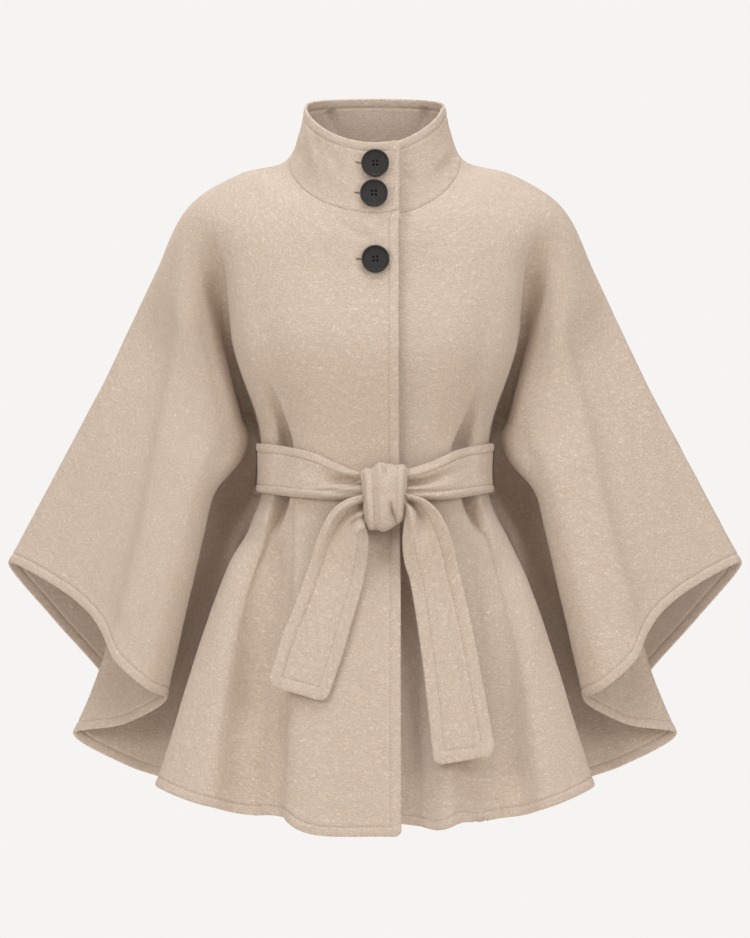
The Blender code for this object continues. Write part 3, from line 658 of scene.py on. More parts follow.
# Fronts, back and collar
panels = {
    "spacing": 4.6,  # between mesh lines, at the hem
    "rows": {"neck": 14, "shoulder": 12, "yoke": 17, "chest": 24, "waist": 14, "belt": 14, "hip": 58},
    "lapColumns": 9,
    "tuckColumns": 30,
    "tuckCloser": 0.75,  # below 1 they lie closer together towards the tuck
    "waves": 0.35,  # height of the slow unevenness
    "waveSize": 70.0,
    "waveStart": 40.0,
    "underFall": 33.0,  # the under front drops back this far beside the lap, most below the belt
    "underFallHigh": 0.25,  # and this share of it above the belt
    "underBelt": (380.0, 480.0),  # the fall grows between these heights below the neck
    "underStart": (-6.0, 20.0),  # and between these x
    "underMiddle": 44.0,
    "underHalf": 34.0,
}
leftHemRise = [  # x and how much higher its hem hangs there than the other front's
    (30, 13), (44, 14), (60, 10.7), (70, 7.5), (80, 4.5), (90, 0), (100, -6), (107, -9.5),
    (114, -12.5), (121, -9.5), (130, -7.5), (165, -5.5), (200, -3), (250, 0),
]
# Creases as they show in the photograph, x to the wearer's left and z up, from one end to the other
armholeCreases = [
    crease(-12, (24, 7), (0.4, 0.1),
           (-188, -84), (-176, -114), (-168, -153), (-160, -206), (-147, -267), (-135, -314)),
    crease(10.5, (8, 32), (0.55, 0.6), (-166, -110), (-158, -153), (-150, -206), (-137, -267), (-122, -314)),
]
frontCreases = withMirrored(armholeCreases) + [
    # at the waist, above the belt, below it, and down the skirt: the wearer's right and then left
    crease(-22, (26, 5), (0.75, 0.05), (-124, -240), (-114, -266), (-104, -292), (-96, -318), (-94, -334)),
    crease(-25, (8, 13), (0.02, 0.97), (-105, -370), (-107, -386), (-115, -410), (-122, -436), (-126, -476)),
    crease(-17, (40, 28), (0.15, 0.02), (-120, -400), (-128, -510), (-134, -590), (-141, -735)),
    crease(3.0, (6, 16), (0.05, 0.02), (-86, -376), (-86, -449), (-87, -537), (-91, -636), (-94, -744)),
    crease(-6.0, (26, 9), (0.3, 0.02), (-97, -420), (-99, -537), (-103, -636), (-106, -744)),
    crease(-20, (5, 26), (0.75, 0.05), (118, -250), (110, -275), (101, -300), (92, -322), (89, -334)),
    crease(-25, (14, 8), (0.02, 0.97), (107, -370), (110, -386), (119, -410), (127, -438), (133, -476)),
    crease(-10.5, (22, 33), (0.2, 0.02), (128, -420), (137, -480), (144, -560), (150, -656), (154, -735)),
    crease(-15, (34, 24), (0.1, 0.8), (12, -396), (15, -440), (17, -500), (18, -600)),
    # down the wings
    crease(-4.5, (34, 18), (0.4, 0.1),
           (-206, -90), (-231, -194), (-251, -306), (-264, -378), (-283, -467), (-303, -530)),
    crease(3.5, (18, 32), (0.3, 0.1),
           (-190, -74), (-218, -194), (-238, -306), (-251, -378), (-269, -467), (-287, -525)),
    crease(-4.5, (18, 34), (0.4, 0.1),
           (208, -96), (220, -194), (250, -306), (265, -378), (285, -456), (308, -528)),
    crease(3.5, (32, 18), (0.3, 0.1),
           (192, -78), (208, -194), (236, -306), (251, -378), (270, -456), (291, -524)),
    crease(2.5, (22, 22), (0.5, 0.4), (-272, -200), (-304, -310), (-346, -440)),
    crease(2.5, (22, 22), (0.5, 0.4), (270, -190), (306, -310), (340, -440)),
    # below the collar
    crease(-1.8, (8, 8), (0.4, 0.3), (-48, -70), (-22, -89), (-2, -98)),
    crease(0.9, (6, 6), (0.4, 0.4), (-34, -64), (-10, -80), (6, -88)),
]
# Only in the hollow: its floor comes forward beside the skirt, and the wing's edge swells out
hollow = {"floorFrom": -0.2, "floorFull": 0.8, "pastTurn": 0.5}  # fold places past the fold it counts from
hollowCreases = withMirrored([
    crease(17, (44, 20), (0.5, 0.5), (-134, -340), (-140, -390), (-152, -440), (-170, -500), (-186, -540)),
    crease(-11, (22, 22), (0.35, 0.7), (-250, -465), (-270, -508), (-290, -545), (-308, -580), (-332, -636)),
])
wingEdgeCreases = withMirrored([
    crease(9, (18, 16), (0.4, 0.3),
           (-186, -150), (-177, -186), (-163, -250), (-150, -314), (-164, -350), (-182, -385)),
])
backCreases = [
    crease(-7, (34, 30), (0.5, 0.02), (-170, -110), (-200, -240), (-240, -380), (-290, -540)),
    crease(-10, (30, 40), (0.5, 0.02), (-95, -70), (-92, -180), (-110, -330), (-135, -480), (-165, -650)),
    crease(-8, (26, 32), (0.55, 0.02), (-30, -110), (-34, -240), (-45, -400), (-58, -560), (-66, -720)),
    crease(-9.5, (34, 26), (0.5, 0.02), (38, -90), (44, -220), (60, -380), (76, -560), (86, -720)),
    crease(-8.5, (38, 30), (0.45, 0.02), (108, -60), (118, -200), (144, -360), (182, -520), (212, -660)),
    crease(-7, (30, 34), (0.4, 0.02), (165, -100), (205, -240), (255, -400), (300, -530)),
    crease(2.5, (24, 24), (0.5, 0.02), (-62, -60), (-64, -220), (-78, -420), (-98, -680)),
    crease(3, (24, 24), (0.5, 0.02), (76, -70), (82, -240), (104, -430), (136, -690)),
    crease(-1.6, (12, 12), (0.4, 0.4), (30, -26), (64, -44), (102, -52)),
    crease(-1.4, (12, 12), (0.4, 0.4), (-26, -27), (-58, -42), (-92, -50)),
]
collarCreases = [
    crease(2.4, (9, 9), (0.3, 0.4), (-76, 40), (-72, 17), (-68, -3), (-63, -18)),
    crease(-1.6, (9, 8), (0.4, 0.4), (-88, 22), (-84, 2), (-78, -14)),
    crease(-1.3, (9, 9), (0.4, 0.4), (-56, 4), (-42, -12), (-28, -36)),
    crease(-2.2, (9, 9), (0.4, 0.4), (94, 8), (80, -12), (66, -25)),
    crease(-2.0, (9, 9), (0.4, 0.4), (32, -14), (42, -26), (58, -31)),
    crease(4.0, (10, 9), (0.2, 0.5), (-53, 60), (-49, 47), (-44, 22)),
    crease(4.0, (8, 10), (0.2, 0.5), (58, 62), (56, 50), (50, 26)),
]
mainRows = []  # level places of the rows from the neck to the hem
for level in range(neck, hem):
    count = panels["rows"][levels[level]]
    mainRows += [level + step / count for step in range(count)]


def edgePlaces(far, speedPlace, last, sign, step=0.02):
    # level places these distances from the last level, measured square to it
    ends = np.full(speedPlace.shape, float(last))
    fall = (surface(speedPlace, ends + sign * step) - surface(speedPlace, ends)) / step
    edge = surface(speedPlace + step, ends) - surface(speedPlace - step, ends)
    square = length(np.cross(unit(fall), unit(edge)))[..., 0] * length(fall)[..., 0]
    return [last + sign * distance / square for distance in far]


def downGrid(across):  # rows down to the hem, close together along its stitching
    band = edgePlaces(edgeDistances("hem"), across[-1], hem, -1)
    rows = [np.where(place > hip, hip + (place - hip) * (band[-1] - hip), place) for place in mainRows]
    return np.array(rows + band[::-1])


def foldPlaces(first, last):  # fold places from one fold to another, evenly close at the hem
    places = []
    for fold in range(first, last):
        wide = np.linalg.norm(foldPoints[hem, (fold + 1) % around] - foldPoints[hem, fold % around])
        count = math.ceil(wide / panels["spacing"])
        places += [fold + step / count for step in range(count)]
    return places + [last]


def lapShares():  # shares of the lap's width, from its stitched edge to the other front's edge
    distances = edgeDistances("front")
    wide = 2 * garment["lap"]
    rest = np.linspace(distances[-1], wide, panels["lapColumns"] + 1)[1:-1]
    return np.concatenate([distances, rest]) / wide


def frontAcross(rows, sign):  # fold places of a front, from its edge past the centre to the wing's tip
    outside = foldPlaces(tuck, tip)
    tuckShares = np.linspace(0, 1, panels["tuckColumns"] + 1)[:-1] ** panels["tuckCloser"]
    lines = []
    for place in rows:
        edge = placeAtX(lapAt(place) if sign > 0 else garment["lap"], place)
        toTuck = tuck + (-edge - tuck) * (1 - tuckShares)
        lines.append(np.concatenate([edge * (1 - 2 * lapShares()), toTuck, outside]))
    line = np.array(lines)
    return line if sign > 0 else (around - line)[:, ::-1]


def underDepth(points, across):  # how far the under lap lies below the surface
    x = points[..., 0]
    lap = (garment["wall"] + garment["lapGap"]) * (1 - smoothStep(*garment["lapFade"], x))
    high = panels["underFallHigh"]
    low = high + (1 - high) * smoothStep(*panels["underBelt"], -points[..., 2])
    beside = bump(x, panels["underMiddle"], panels["underHalf"]) * smoothStep(*panels["underStart"], x)
    return (lap + panels["underFall"] * beside * low) * ((across > around / 2) & (points[..., 1] < 0))


def slitHole(across, down):  # the cells that the belt passes through
    middle = (across[:-1, :-1] + across[1:, 1:]) / 2
    level = (down[:-1, :-1] + down[1:, 1:]) / 2
    inside = (middle > slit[0]) & (middle < slit[1])
    inside |= (middle > around - slit[1]) & (middle < around - slit[0])
    return inside & (level > waist + garment["slitFrom"]) & (level < belt)


def makeFronts():
    rows = mainRows + [float(hem)] * len(edgeShares)
    over = frontAcross(rows, 1)
    down = downGrid(over)
    ends = dict(left="front", right="seam", top="neckSeam", bottom="hem")
    right = makePanel("frontRight", over, down, ends, frontCreases, hole=slitHole(over, down))
    under = frontAcross(rows, -1)
    down = downGrid(under)
    x = surface(under, down)[..., 0]
    rise = garment["underHemRise"] * (1 - smoothStep(garment["lap"], garment["underHemSpan"], x))
    rise += np.interp(x, *curveColumns(leftHemRise))
    skirt = folds["centreFront"][foldColumns.index("belt")][2] - folds["centreFront"][-1][2]
    down -= (rise / skirt) * np.clip(down - hip, 0, 1)
    ends = dict(left="seam", right="front", top="neckSeam", bottom="hem")
    left = makePanel("frontLeft", under, down, ends, frontCreases, underDepth, slitHole(under, down))
    return right, left


def makeBack():
    line = np.array(foldPlaces(tip, around - tip), float)
    across = np.tile(line, (len(mainRows) + len(edgeShares), 1))
    ends = dict(left="seam", right="seam", top="neckSeam", bottom="hem")
    return makePanel("backPanel", across, downGrid(across), ends, backCreases)


collarShape = {"rows": 14, "sideColumns": 40, "backColumns": 84}


def makeCollar():  # one strip right round that laps over itself in front
    shape = collarShape
    turns = [row[0] for row in folds.values()]
    allTurns = turns + [360 - turn for turn in turns[-2::-1]]
    shares = lapShares()
    lines = []
    for place in np.linspace(0, neck, shape["rows"] + len(edgeShares)):
        edge = placeAtX(lapAt(place), place)
        lap = edge * (1 - 2 * shares)
        lapTurn = np.interp(-edge, np.arange(back + 1), turns)
        side = np.linspace(lapTurn, 90, shape["sideColumns"] + 1)[:-1]
        behind = np.linspace(90, 270, shape["backColumns"] + 1)
        ring = np.interp(np.concatenate([side, behind, 360 - side[::-1]]), allTurns, np.arange(around + 1))
        lines.append(np.concatenate([lap, ring, around - lap[::-1]]))
    across = np.array(lines)
    top = np.array(edgePlaces(edgeDistances("collar"), across[0], 0, 1))
    rest = [top[-1] + (neck - top[-1]) * share for share in np.linspace(0, 1, shape["rows"] + 1)[1:]]
    down = np.concatenate([top, rest])
    ends = dict(left="front", right="front", top="collar", bottom="neckSeam")
    return makePanel("standCollar", across, down, ends, collarCreases, depth=underDepth)


frontRight, frontLeft = makeFronts()
backPanel = makeBack()
collar = makeCollar()
print("fronts, back and collar made")

# Tie belt: the band, its knot and its two ends
knotX = 10.5
beltShape = {
    "thick": 4.6,  # two layers
    "gap": 0.8,
    "stitchIn": 9.6,
    "groove": 0.9,
    "grooveHalf": 0.8,
    "puff": 0.8,
    "edgeRound": 2.3,
    "lobe": 5.5,  # the gathered band stands out beside the knot
    "lowFull": (20.0, 72.0),  # on the wearer's right the lower edge is folded wider near the knot
    "lowStart": (-20.0, 10.0),
    "lowSwell": 0.7,
    "lean": 6.5,  # its lower edge stands out a little further
    "gather": (24.0, 92.0),  # the gathers fade between these distances from the knot's middle
    "gatherEdge": 9.0,  # and this near to the band's edges
    "gatherDepth": -60.0,  # only the front of the band is gathered
    "waves": 0.5,
    "waveSize": 60.0,
    "waveEdge": (1.0, 6.0),
    "knotHalf": 26.0,
    "flatHalf": 18.2,  # flat behind the knot
    "stitchOver": 6.0,  # the stitching runs on this far under the knot
    "stitchDepth": -20.0,  # and back to here
    "toFold": 34,  # sections from the knot to the first fold, from there to the slit, and behind
    "toSlit": 66,
    "behind": 60,
    "backDepth": 96.0,
    "middleLines": 19,  # mesh lines between the two edges' lines
    "edgesFit": 2.15,  # where the band is narrow, both edges' lines close up to fit
}
bandEdges = [  # distance from the knot's middle towards the wearer's left, height of the top and bottom edge
    (-138, -319.8, -375.5),
    (-108, -324.5, -378.8),
    (-76, -332.5, -381.8),
    (-51, -343.5, -383.5),
    (-27, -352.0, -382),
    (0, -353, -380),
    (27, -348.5, -382),
    (55, -339.5, -383.5),
    (80, -328.5, -381),
    (117, -319.8, -375.5),
]
bandLobes = [  # the gathers beside the knot: share of the way down the band, half width and height
    (0.2, 0.15, 1.0), (0.46, 0.1, -0.9), (0.66, 0.09, 0.8), (0.8, 0.04, -0.35), (0.92, 0.09, 0.6),
]
bandCreases = [
    crease(-6.0, (11, 2.5), (0.02, 0.9), (-12, -360), (-39, -364), (-64, -369), (-84, -372)),
    crease(-3.5, (6, 8), (0.02, 0.9), (-14, -360), (-34, -358), (-56, -351), (-84, -341)),
    crease(-6.0, (10, 3), (0.02, 0.9), (34, -363), (50, -362), (66, -356), (88, -346)),
]
bandLines = (0.0, 0.35, 1.1, 2.3, 4.2, 6.4, 8.0, 8.8, 9.6, 10.4, 11.4, 13.2)  # mesh lines inside each edge
bandStitch = bandLines.index(beltShape["stitchIn"])


def bandRows(x):  # distances down the band at this x, its top edge, and its width and distances from the edges
    shape = beltShape
    across, high, low = curveColumns(bandEdges)
    top, bottom = (np.interp(x - knotX, across, heights) for heights in (high, low))
    width = top - bottom
    high = np.array(bandLines)[None] * np.minimum(1, width / (shape["edgesFit"] * bandLines[-1]))[:, None]
    fuller = (1 - smoothStep(*shape["lowFull"], knotX - x)) * smoothStep(*shape["lowStart"], knotX - x)
    low = high * (1 + shape["lowSwell"] * fuller)[:, None]
    free = width - high[:, -1] - low[:, -1]
    count = shape["middleLines"]
    middle = high[:, -1:] + free[:, None] * np.linspace(0, 1, count + 2)[None, 1:-1]
    lines = np.concatenate([high, middle, width[:, None] - low[:, ::-1]], axis=1)
    beyond = np.full(count, bandLines[-1] + 3.0)  # the middle lies clear of the stitching's dent
    edge = np.broadcast_to(np.concatenate([bandLines, beyond, bandLines[::-1]]), lines.shape)
    return lines, top, np.stack([width] + list(edge.T), axis=1)


def bandHalf(start, sign):  # places under half of the band, from the knot to the slit
    near = np.linspace(start, sign, beltShape["toFold"], endpoint=False)
    return np.concatenate([near, np.linspace(sign, sign * slit[0], beltShape["toSlit"])])


def bandSections():  # places under the band, outward directions, distances down and width, right round
    start = placeAtX(knotX, (waist + belt) / 2)
    parts = []
    for line in (bandHalf(start, 1), bandHalf(start, -1)[:0:-1]):
        ends = [surface(line, np.full(line.shape, float(level))) for level in (waist, belt)]
        rows, top, width = bandRows((ends[0] + ends[1])[:, 0] / 2)
        wanted = top[:, None] - rows
        down = waist + (wanted - ends[0][:, 2:]) / (ends[1][:, 2:] - ends[0][:, 2:])
        across = np.repeat(line[:, None], rows.shape[1], axis=1)
        parts.append((surface(across, down), directions(across, down)[0], rows, width))
    half, front, _ = folds["valleyNear"][foldColumns.index("waist")]
    turn = np.linspace(0, math.pi, beltShape["behind"] + 2)[1:-1]
    rows, top, width = bandRows(np.full(turn.shape, -float(half)))
    deep = beltShape["backDepth"]
    x, y = -half * np.cos(turn), front + deep * np.sin(turn)
    points = np.stack(np.broadcast_arrays(x[:, None], y[:, None], top[:, None] - rows), axis=-1)
    out = unit(np.stack([-np.cos(turn) / half, np.sin(turn) / deep, np.zeros(turn.shape)], axis=-1))
    parts.insert(1, (points, np.repeat(out[:, None], rows.shape[1], axis=1), rows, width))
    return [np.concatenate(group) for group in zip(*parts)]


def roundedEdge(distance, radius):  # 0 at the edge to 1 where the full thickness is reached
    return np.sqrt(np.clip(1 - (1 - np.clip(distance / radius, 0, 1)) ** 2, 0, 1))


def makeBand():
    points, out, rows, sizes = bandSections()
    width, inside = sizes[:, 0], sizes[:, 1:]
    shape = beltShape
    x, y = points[..., 0], points[..., 1]
    share = rows / width[:, None]
    front = y < shape["gatherDepth"]
    gather = (1 - smoothStep(*shape["gather"], np.abs(x - knotX))) * front
    clear = smoothStep(shape["flatHalf"], shape["knotHalf"], np.abs(x - knotX))
    lobes = shape["lobe"] * sum(high * bump(share, at, half) for at, half, high in bandLobes)
    dent = shape["groove"] * bump(inside, shape["stitchIn"], shape["grooveHalf"])
    half = shape["thick"] / 2 * roundedEdge(inside, shape["edgeRound"])
    u = np.cumsum(np.concatenate([[0], length(np.diff(points[:, 0], axis=0))[:, 0]]))
    uneven = softWaves(u[:, None] + 0 * rows, rows, shape["waveSize"], 3.0)
    uneven *= smoothStep(*shape["waveEdge"], inside)
    roll = shape["puff"] * padded(inside / shape["stitchIn"])
    folded = creaseRelief(points, bandCreases) * front
    soft = roundedEdge(inside, shape["gatherEdge"])
    lean = shape["lean"] * share * soft * np.clip(-out[..., 1], 0, 1)
    face = half + (gather * lobes + shape["waves"] * uneven + folded) * clear * soft + lean + roll - dent
    middle = shape["gap"] + shape["thick"] / 2
    outer = points + out * (middle + face)[..., None]
    inner = points + out * (middle - half)[..., None]
    grid = np.concatenate([outer, inner[:, -2:0:-1]], axis=1)
    v = np.concatenate([rows, rows[:, -2:0:-1]], axis=1)
    flat = np.stack([np.repeat(u[:, None], v.shape[1], axis=1), v], axis=-1)
    piece = closedTube("beltBand", grid, flat)
    lines = [(outer[:, k], out[:, k]) for k in (bandStitch, outer.shape[1] - 1 - bandStitch)]
    beside = np.abs(x[:, 0] - knotX) > shape["knotHalf"] - shape["stitchOver"]
    shown = (y[:, 0] < shape["stitchDepth"]) & beside
    print("beltBand faces", len(piece.data.polygons))
    wide = float(runs(outer.transpose(1, 0, 2))[1].max())
    return dict(piece=piece, lines=lines, shown=shown, area=areaOf(outer), long=float(u[-1]), wide=wide)


knotShape = {
    "base": -116.6,  # depth of its flat back
    "lean": 0.16,  # below the band the back leans forward with the skirt
    "edge": 4.0,
    "fullness": 0.8,
    "across": 92,
    "wrap": 60,
    "groove": 1.3,
    "grooveHalf": 0.13,  # as a share of the way from one roll to the next
    "roundOut": 1.2,
}
knotRolls = [  # x at the top and bottom, height of the top and bottom, how far out
    (-15.4, -9.7, -353, -411, 9),
    (-10.0, -5.0, -349, -415, 21),
    (-4.0, 1.0, -349, -414.5, 20.5),
    (4.0, 8.5, -343, -416.5, 26),
    (15.0, 17.5, -344.5, -413, 26.5),
    (24.5, 23.5, -345.5, -409, 23.5),
    (30.5, 28.0, -345, -406.5, 22),
    (35.6, 31.0, -350, -401, 9),
]
knotSeams = (2, 5)  # the rolls that are valleys, where the stitching runs
knotCreases = [
    crease(-13.0, (4, 3), (0.02, 0.8), (8, -341), (10, -350), (12, -362)),
    crease(-8, (7, 1.5), (0.6, 0.05), (17, -380), (19, -392), (25, -410)),
    crease(-0.8, (3, 4), (0.3, 0.6), (-8, -352), (-7, -372), (-4, -392)),
]


def makeKnot():
    shape = knotShape
    places = np.linspace(0, len(knotRolls) - 1, shape["across"])
    xTop, xBottom, top, bottom, forward = smoothCurve(knotRolls, places).T
    angle = np.linspace(-math.pi / 2, math.pi / 2, shape["wrap"])[:, None]
    part = 0.5 + angle / math.pi
    x = xTop + (xBottom - xTop) * part
    z = (top + bottom) / 2 - (top - bottom) / 2 * np.sin(angle)
    base = shape["base"] - shape["lean"] * np.clip(bandEdges[0][2] - z, 0, None)
    fullness = np.clip(np.cos(angle), 0, None) ** shape["fullness"]
    front = np.stack([x, base - shape["edge"] - (forward - shape["edge"]) * fullness, z], axis=-1)
    seam = sum(bump(places, valley, shape["grooveHalf"]) for valley in knotSeams)
    inward = shape["groove"] * seam[None] * fullness - creaseRelief(front, knotCreases) * fullness
    front[..., 1] += inward
    rear = np.stack([x, base, z], axis=-1)
    away, swell = np.zeros(front.shape), np.full(x.shape, shape["roundOut"])
    away[0, :, 2] = 1
    away[-1, :, 2] = -1
    away[:, 0, 0] -= 1
    away[:, -1, 0] += 1
    u, v = runs(front)
    piece = closedSheet("beltKnot", front, rear, unit(away), swell, np.stack([u, v], axis=-1))
    out = unit(np.cross(np.gradient(front, axis=1), np.gradient(front, axis=0)))
    columns = [int(round(valley * (shape["across"] - 1) / (len(knotRolls) - 1))) for valley in knotSeams]
    lines = [(front[:, column], out[:, column]) for column in columns]
    print("beltKnot faces", len(piece.data.polygons))
    return dict(piece=piece, lines=lines, wide=float(u.max()), long=float(v.max()))


tailShape = {
    "thick": 4.6,
    "lift": 0.8,
    "reach": 6.0,  # it feels for the skirt this far to each side
    "pleats": 1.5,
    "stitchIn": 14.0,
    "groove": 0.9,
    "grooveHalf": 0.06,  # as a share of the way to the stitching
    "puff": 1.1,
    "across": 14,  # mesh lines between the two stitch lines
    "down": 24,  # and between neighbouring rows of the table
    "shares": 9,  # places across it where it is laid on the skirt
    "edgesFit": 2.2,  # where it is narrow, both edges' lines close up to fit
    "creaseEdge": (2.0, 8.0),
    "corner": 9.0,
    "roundOut": 2.2,
}
tailColumns = ("nearX", "nearZ", "farX", "farZ", "deep", "pleat")
tailRight = [
    (-10.6, -411, -13.6, -378, -120.5, 5),
    (-8.2, -419, -28, -381, -125, 8),
    (-6.6, -429, -45.4, -392, -127, 8),
    (-7.1, -442, -57.4, -411, -128, 7),
    (-12.5, -474, -69.3, -445, -129, 3.5),
    (-22.3, -508, -82.3, -483, -136, 1.5),
    (-33.2, -546, -99.6, -527, -146, 0.5),
    (-52.7, -603, -117.3, -584, -160, 0),
]
tailLeft = [
    (32.6, -394, 33.8, -377, -120.5, 4),
    (32.3, -405, 53.1, -382, -125, 8),
    (30.1, -425, 70.6, -397, -127, 8),
    (31.2, -444, 82.6, -422, -128, 7),
    (37.7, -470, 92.3, -461, -129, 3.5),
    (45.2, -514, 104, -511, -138, 1.5),
    (53.8, -578, 116.8, -578, -152, 0.5),
    (63.4, -671, 131.8, -659, -172, 0),
]
tailRightCreases = [
    crease(-9.0, (3, 13), (0.02, 0.8), (-9, -386), (-28, -392), (-41, -403), (-48, -420), (-53, -440)),
    crease(-7.0, (4, 9), (0.02, 0.8), (-8, -400), (-22, -406), (-32, -417), (-36, -434)),
    crease(3.5, (5, 5), (0.05, 0.7), (-8, -412), (-20, -416), (-27, -430)),
    crease(4.0, (9, 8), (0.1, 0.6), (-16, -383), (-40, -396), (-54, -420), (-62, -452)),
]
tailLeftCreases = [
    crease(-10.0, (3, 12), (0.02, 0.8), (36, -383), (45, -394), (48, -411), (49, -427), (50, -450)),
    crease(-4.5, (4, 9), (0.1, 0.8), (46, -378), (58, -388), (68, -404), (74, -436)),
    crease(3.0, (5, 5), (0.1, 0.7), (37, -390), (40, -410), (40, -430)),
]


def feel(trees, x, z):  # depth of the first cloth met from the front, near this x and z
    found = []
    for across, up in ((0, 0), (-1, 0), (1, 0), (0, -1), (0, 1)):
        start = ((x + across * tailShape["reach"]) * mm, -1, (z + up * tailShape["reach"]) * mm)
        hits = [tree.ray_cast(start, (0, 1, 0))[0] for tree in trees]
        found += [hit.y / mm for hit in hits if hit]
    return min(found)


def tailBack(table, trees):  # points on the back of a belt end, and how deep each would lie on the skirt
    shape = tailShape
    lines = []
    for values in smoothCurve(table, np.arange(2 * len(table) - 1) / 2):
        row = dict(zip(tailColumns, values))
        line = []
        for share in np.linspace(0, 1, shape["shares"]):
            x = row["nearX"] + (row["farX"] - row["nearX"]) * share
            z = row["nearZ"] + (row["farZ"] - row["nearZ"]) * share
            fold = row["pleat"] * (1 - math.cos(2 * math.pi * shape["pleats"] * share)) / 2
            lying = feel(trees, x, z) - shape["lift"]
            line.append((x, min(row["deep"] - fold, lying), z, lying))
        lines.append(line)
    return np.array(lines)


def makeTail(name, table, creases, trees):
    shape = tailShape
    coarse = tailBack(table, trees)
    places = np.linspace(0, len(coarse) - 1, (len(table) - 1) * shape["down"] + 1)
    fine = smoothCurve(coarse, places)  # [row, share, xyz and the skirt]
    wide = length(fine[:, -1, :3] - fine[:, 0, :3])[:, 0]
    start = shape["roundOut"]
    lines = np.array([start + share * (shape["stitchIn"] - start) for share in edgeShares])
    squeeze = np.minimum(1, wide / (shape["edgesFit"] * lines[-1]))[:, None]
    near = lines[None] * squeeze
    free = np.linspace(0, 1, shape["across"])[None, 1:-1]
    middle = near[:, -1:] + (wide[:, None] - 2 * near[:, -1:]) * free
    distance = np.concatenate([near, middle, wide[:, None] - near[:, ::-1]], axis=1)
    share = distance / wide[:, None]
    rear = np.array([smoothCurve(row, part * (len(row) - 1)) for row, part in zip(fine, share)])
    v = runs(rear[..., :3])[1]
    fall = v[-1:] - v  # distance up from the end
    keep = np.searchsorted(-fall[:, 0], -lines[-1] - 2)
    last = [np.interp(-up, -fall[:, 0], np.arange(len(fall))) for up in lines[::-1]]
    rows = np.concatenate([np.arange(keep), last])
    rear = smoothRows(rear, rows)
    across, other, below = (smoothRows(far, rows) for far in (distance, wide[:, None] - distance, fall))
    inside = np.minimum(across, other)
    stitch = shape["stitchIn"] * smoothRows(squeeze, rows)
    edge = np.minimum(inside / stitch, below / shape["stitchIn"])
    puff = shape["puff"] * padded(edge) - shape["groove"] * bump(edge, 1, shape["grooveHalf"])
    rear, lying = rear[..., :3], rear[..., 3]
    along, down = unit(np.gradient(rear, axis=1)), unit(np.gradient(rear, axis=0))
    away, swell = np.zeros(rear.shape), np.full(inside.shape, shape["roundOut"])
    away[0] -= down[0]
    border = {}
    ends = {"low": (np.s_[-1], -down), "near": (np.s_[:, 0], along), "far": (np.s_[:, -1], -along)}
    for end, (at, inward) in ends.items():
        away[at] -= inward[at]
        mask = np.zeros(inside.shape, bool)
        mask[at] = True
        border[end] = (inward, mask)
    low = (below - start, *border["low"])
    for far, end in ((across, "near"), (other, "far")):
        roundCorner(rear, away, (far - start, *border[end]), low, shape["corner"])
    relief = creaseRelief(rear, creases) * smoothStep(*shape["creaseEdge"], inside)
    rear[..., 1] = np.minimum(rear[..., 1] - relief, lying)
    front = rear.copy()
    front[..., 1] -= shape["thick"] + puff
    u, v = runs(rear)
    piece = closedSheet(name, front, rear, unit(away), swell, np.stack([u, v], axis=-1))
    out = unit(np.cross(np.gradient(front, axis=1), np.gradient(front, axis=0)))
    out *= np.sign(-out[..., 1:2])
    side = (stitchLine, front.shape[1] - 1 - stitchLine)
    low = front.shape[0] - 1 - stitchLine
    paths = [(front[: low + 1, k], out[: low + 1, k]) for k in side]
    paths.append((front[low, side[0] : side[1] + 1], out[low, side[0] : side[1] + 1]))
    print(name, "faces", len(piece.data.polygons))
    return dict(piece=piece, lines=paths, area=areaOf(rear), wide=float(u.max()), long=float(v.max()))


def smoothRows(grid, rows):  # a grid read at places between its rows
    low = np.clip(np.floor(rows).astype(int), 0, len(grid) - 2)
    part = (rows - low).reshape((-1,) + (1,) * (grid.ndim - 1))
    return grid[low] * (1 - part) + grid[low + 1] * part


def treeOf(piece):
    points = [tuple(vertex.co) for vertex in piece.data.vertices]
    return BVHTree.FromPolygons(points, [tuple(face.vertices) for face in piece.data.polygons])


beltBand = makeBand()
beltKnot = makeKnot()
skirtTrees = [treeOf(made["piece"]) for made in (frontRight, frontLeft)]
endRight = makeTail("beltEndRight", tailRight, tailRightCreases, skirtTrees)
endLeft = makeTail("beltEndLeft", tailLeft, tailLeftCreases, skirtTrees)
print("belt made")

# Buttons: one is turned and drilled, then copied
buttonShape = {
    "radius": 15.3,
    "sides": 72,
    "under": 1.6,  # height of its underside over the cloth
    "top": 5.9,
    "rim": 1.5,  # width of the raised rim
    "slope": 0.45,
    "dish": 1.5,  # how far the face lies below the rim
    "foot": 4.0,
    "footSides": 24,
    "footIn": 0.02,  # the foot reaches this far into the disc
    "soft": 0.55,  # radius of its rounded edges, where faces meet at more than "sharp" degrees
    "softSteps": 4,
    "sharp": 40,
    "smooth": 35,
    "holeOff": 2.15,
    "hole": 1.3,
    "holeSides": 20,
    "past": 2.0,  # the drill runs on this far above and below
    "lift": 0.3,
}
buttonPlaces = {"buttonTop": (0.2, -11.7), "buttonMiddle": (-1.1, -45.4), "buttonLower": (0.5, -118.8)}
buttonHoles = {
    "from": -21.5,  # x from the button's middle
    "to": 6.0,
    "tilt": {"buttonMiddle": -0.07},
    "pitch": 0.75,  # between threads, which are "half" long and lie "off" the middle line
    "half": 0.558,
    "off": 0.8,
    "thick": 0.3,
    "threadLift": 0.12,
    # the strip along the cut is coloured dark as painted shade
    "slit": 0.3,  # half the width of the cut, how far it stands out and how far it goes in
    "slitLift": 0.16,
    "slitDeep": 0.4,
}


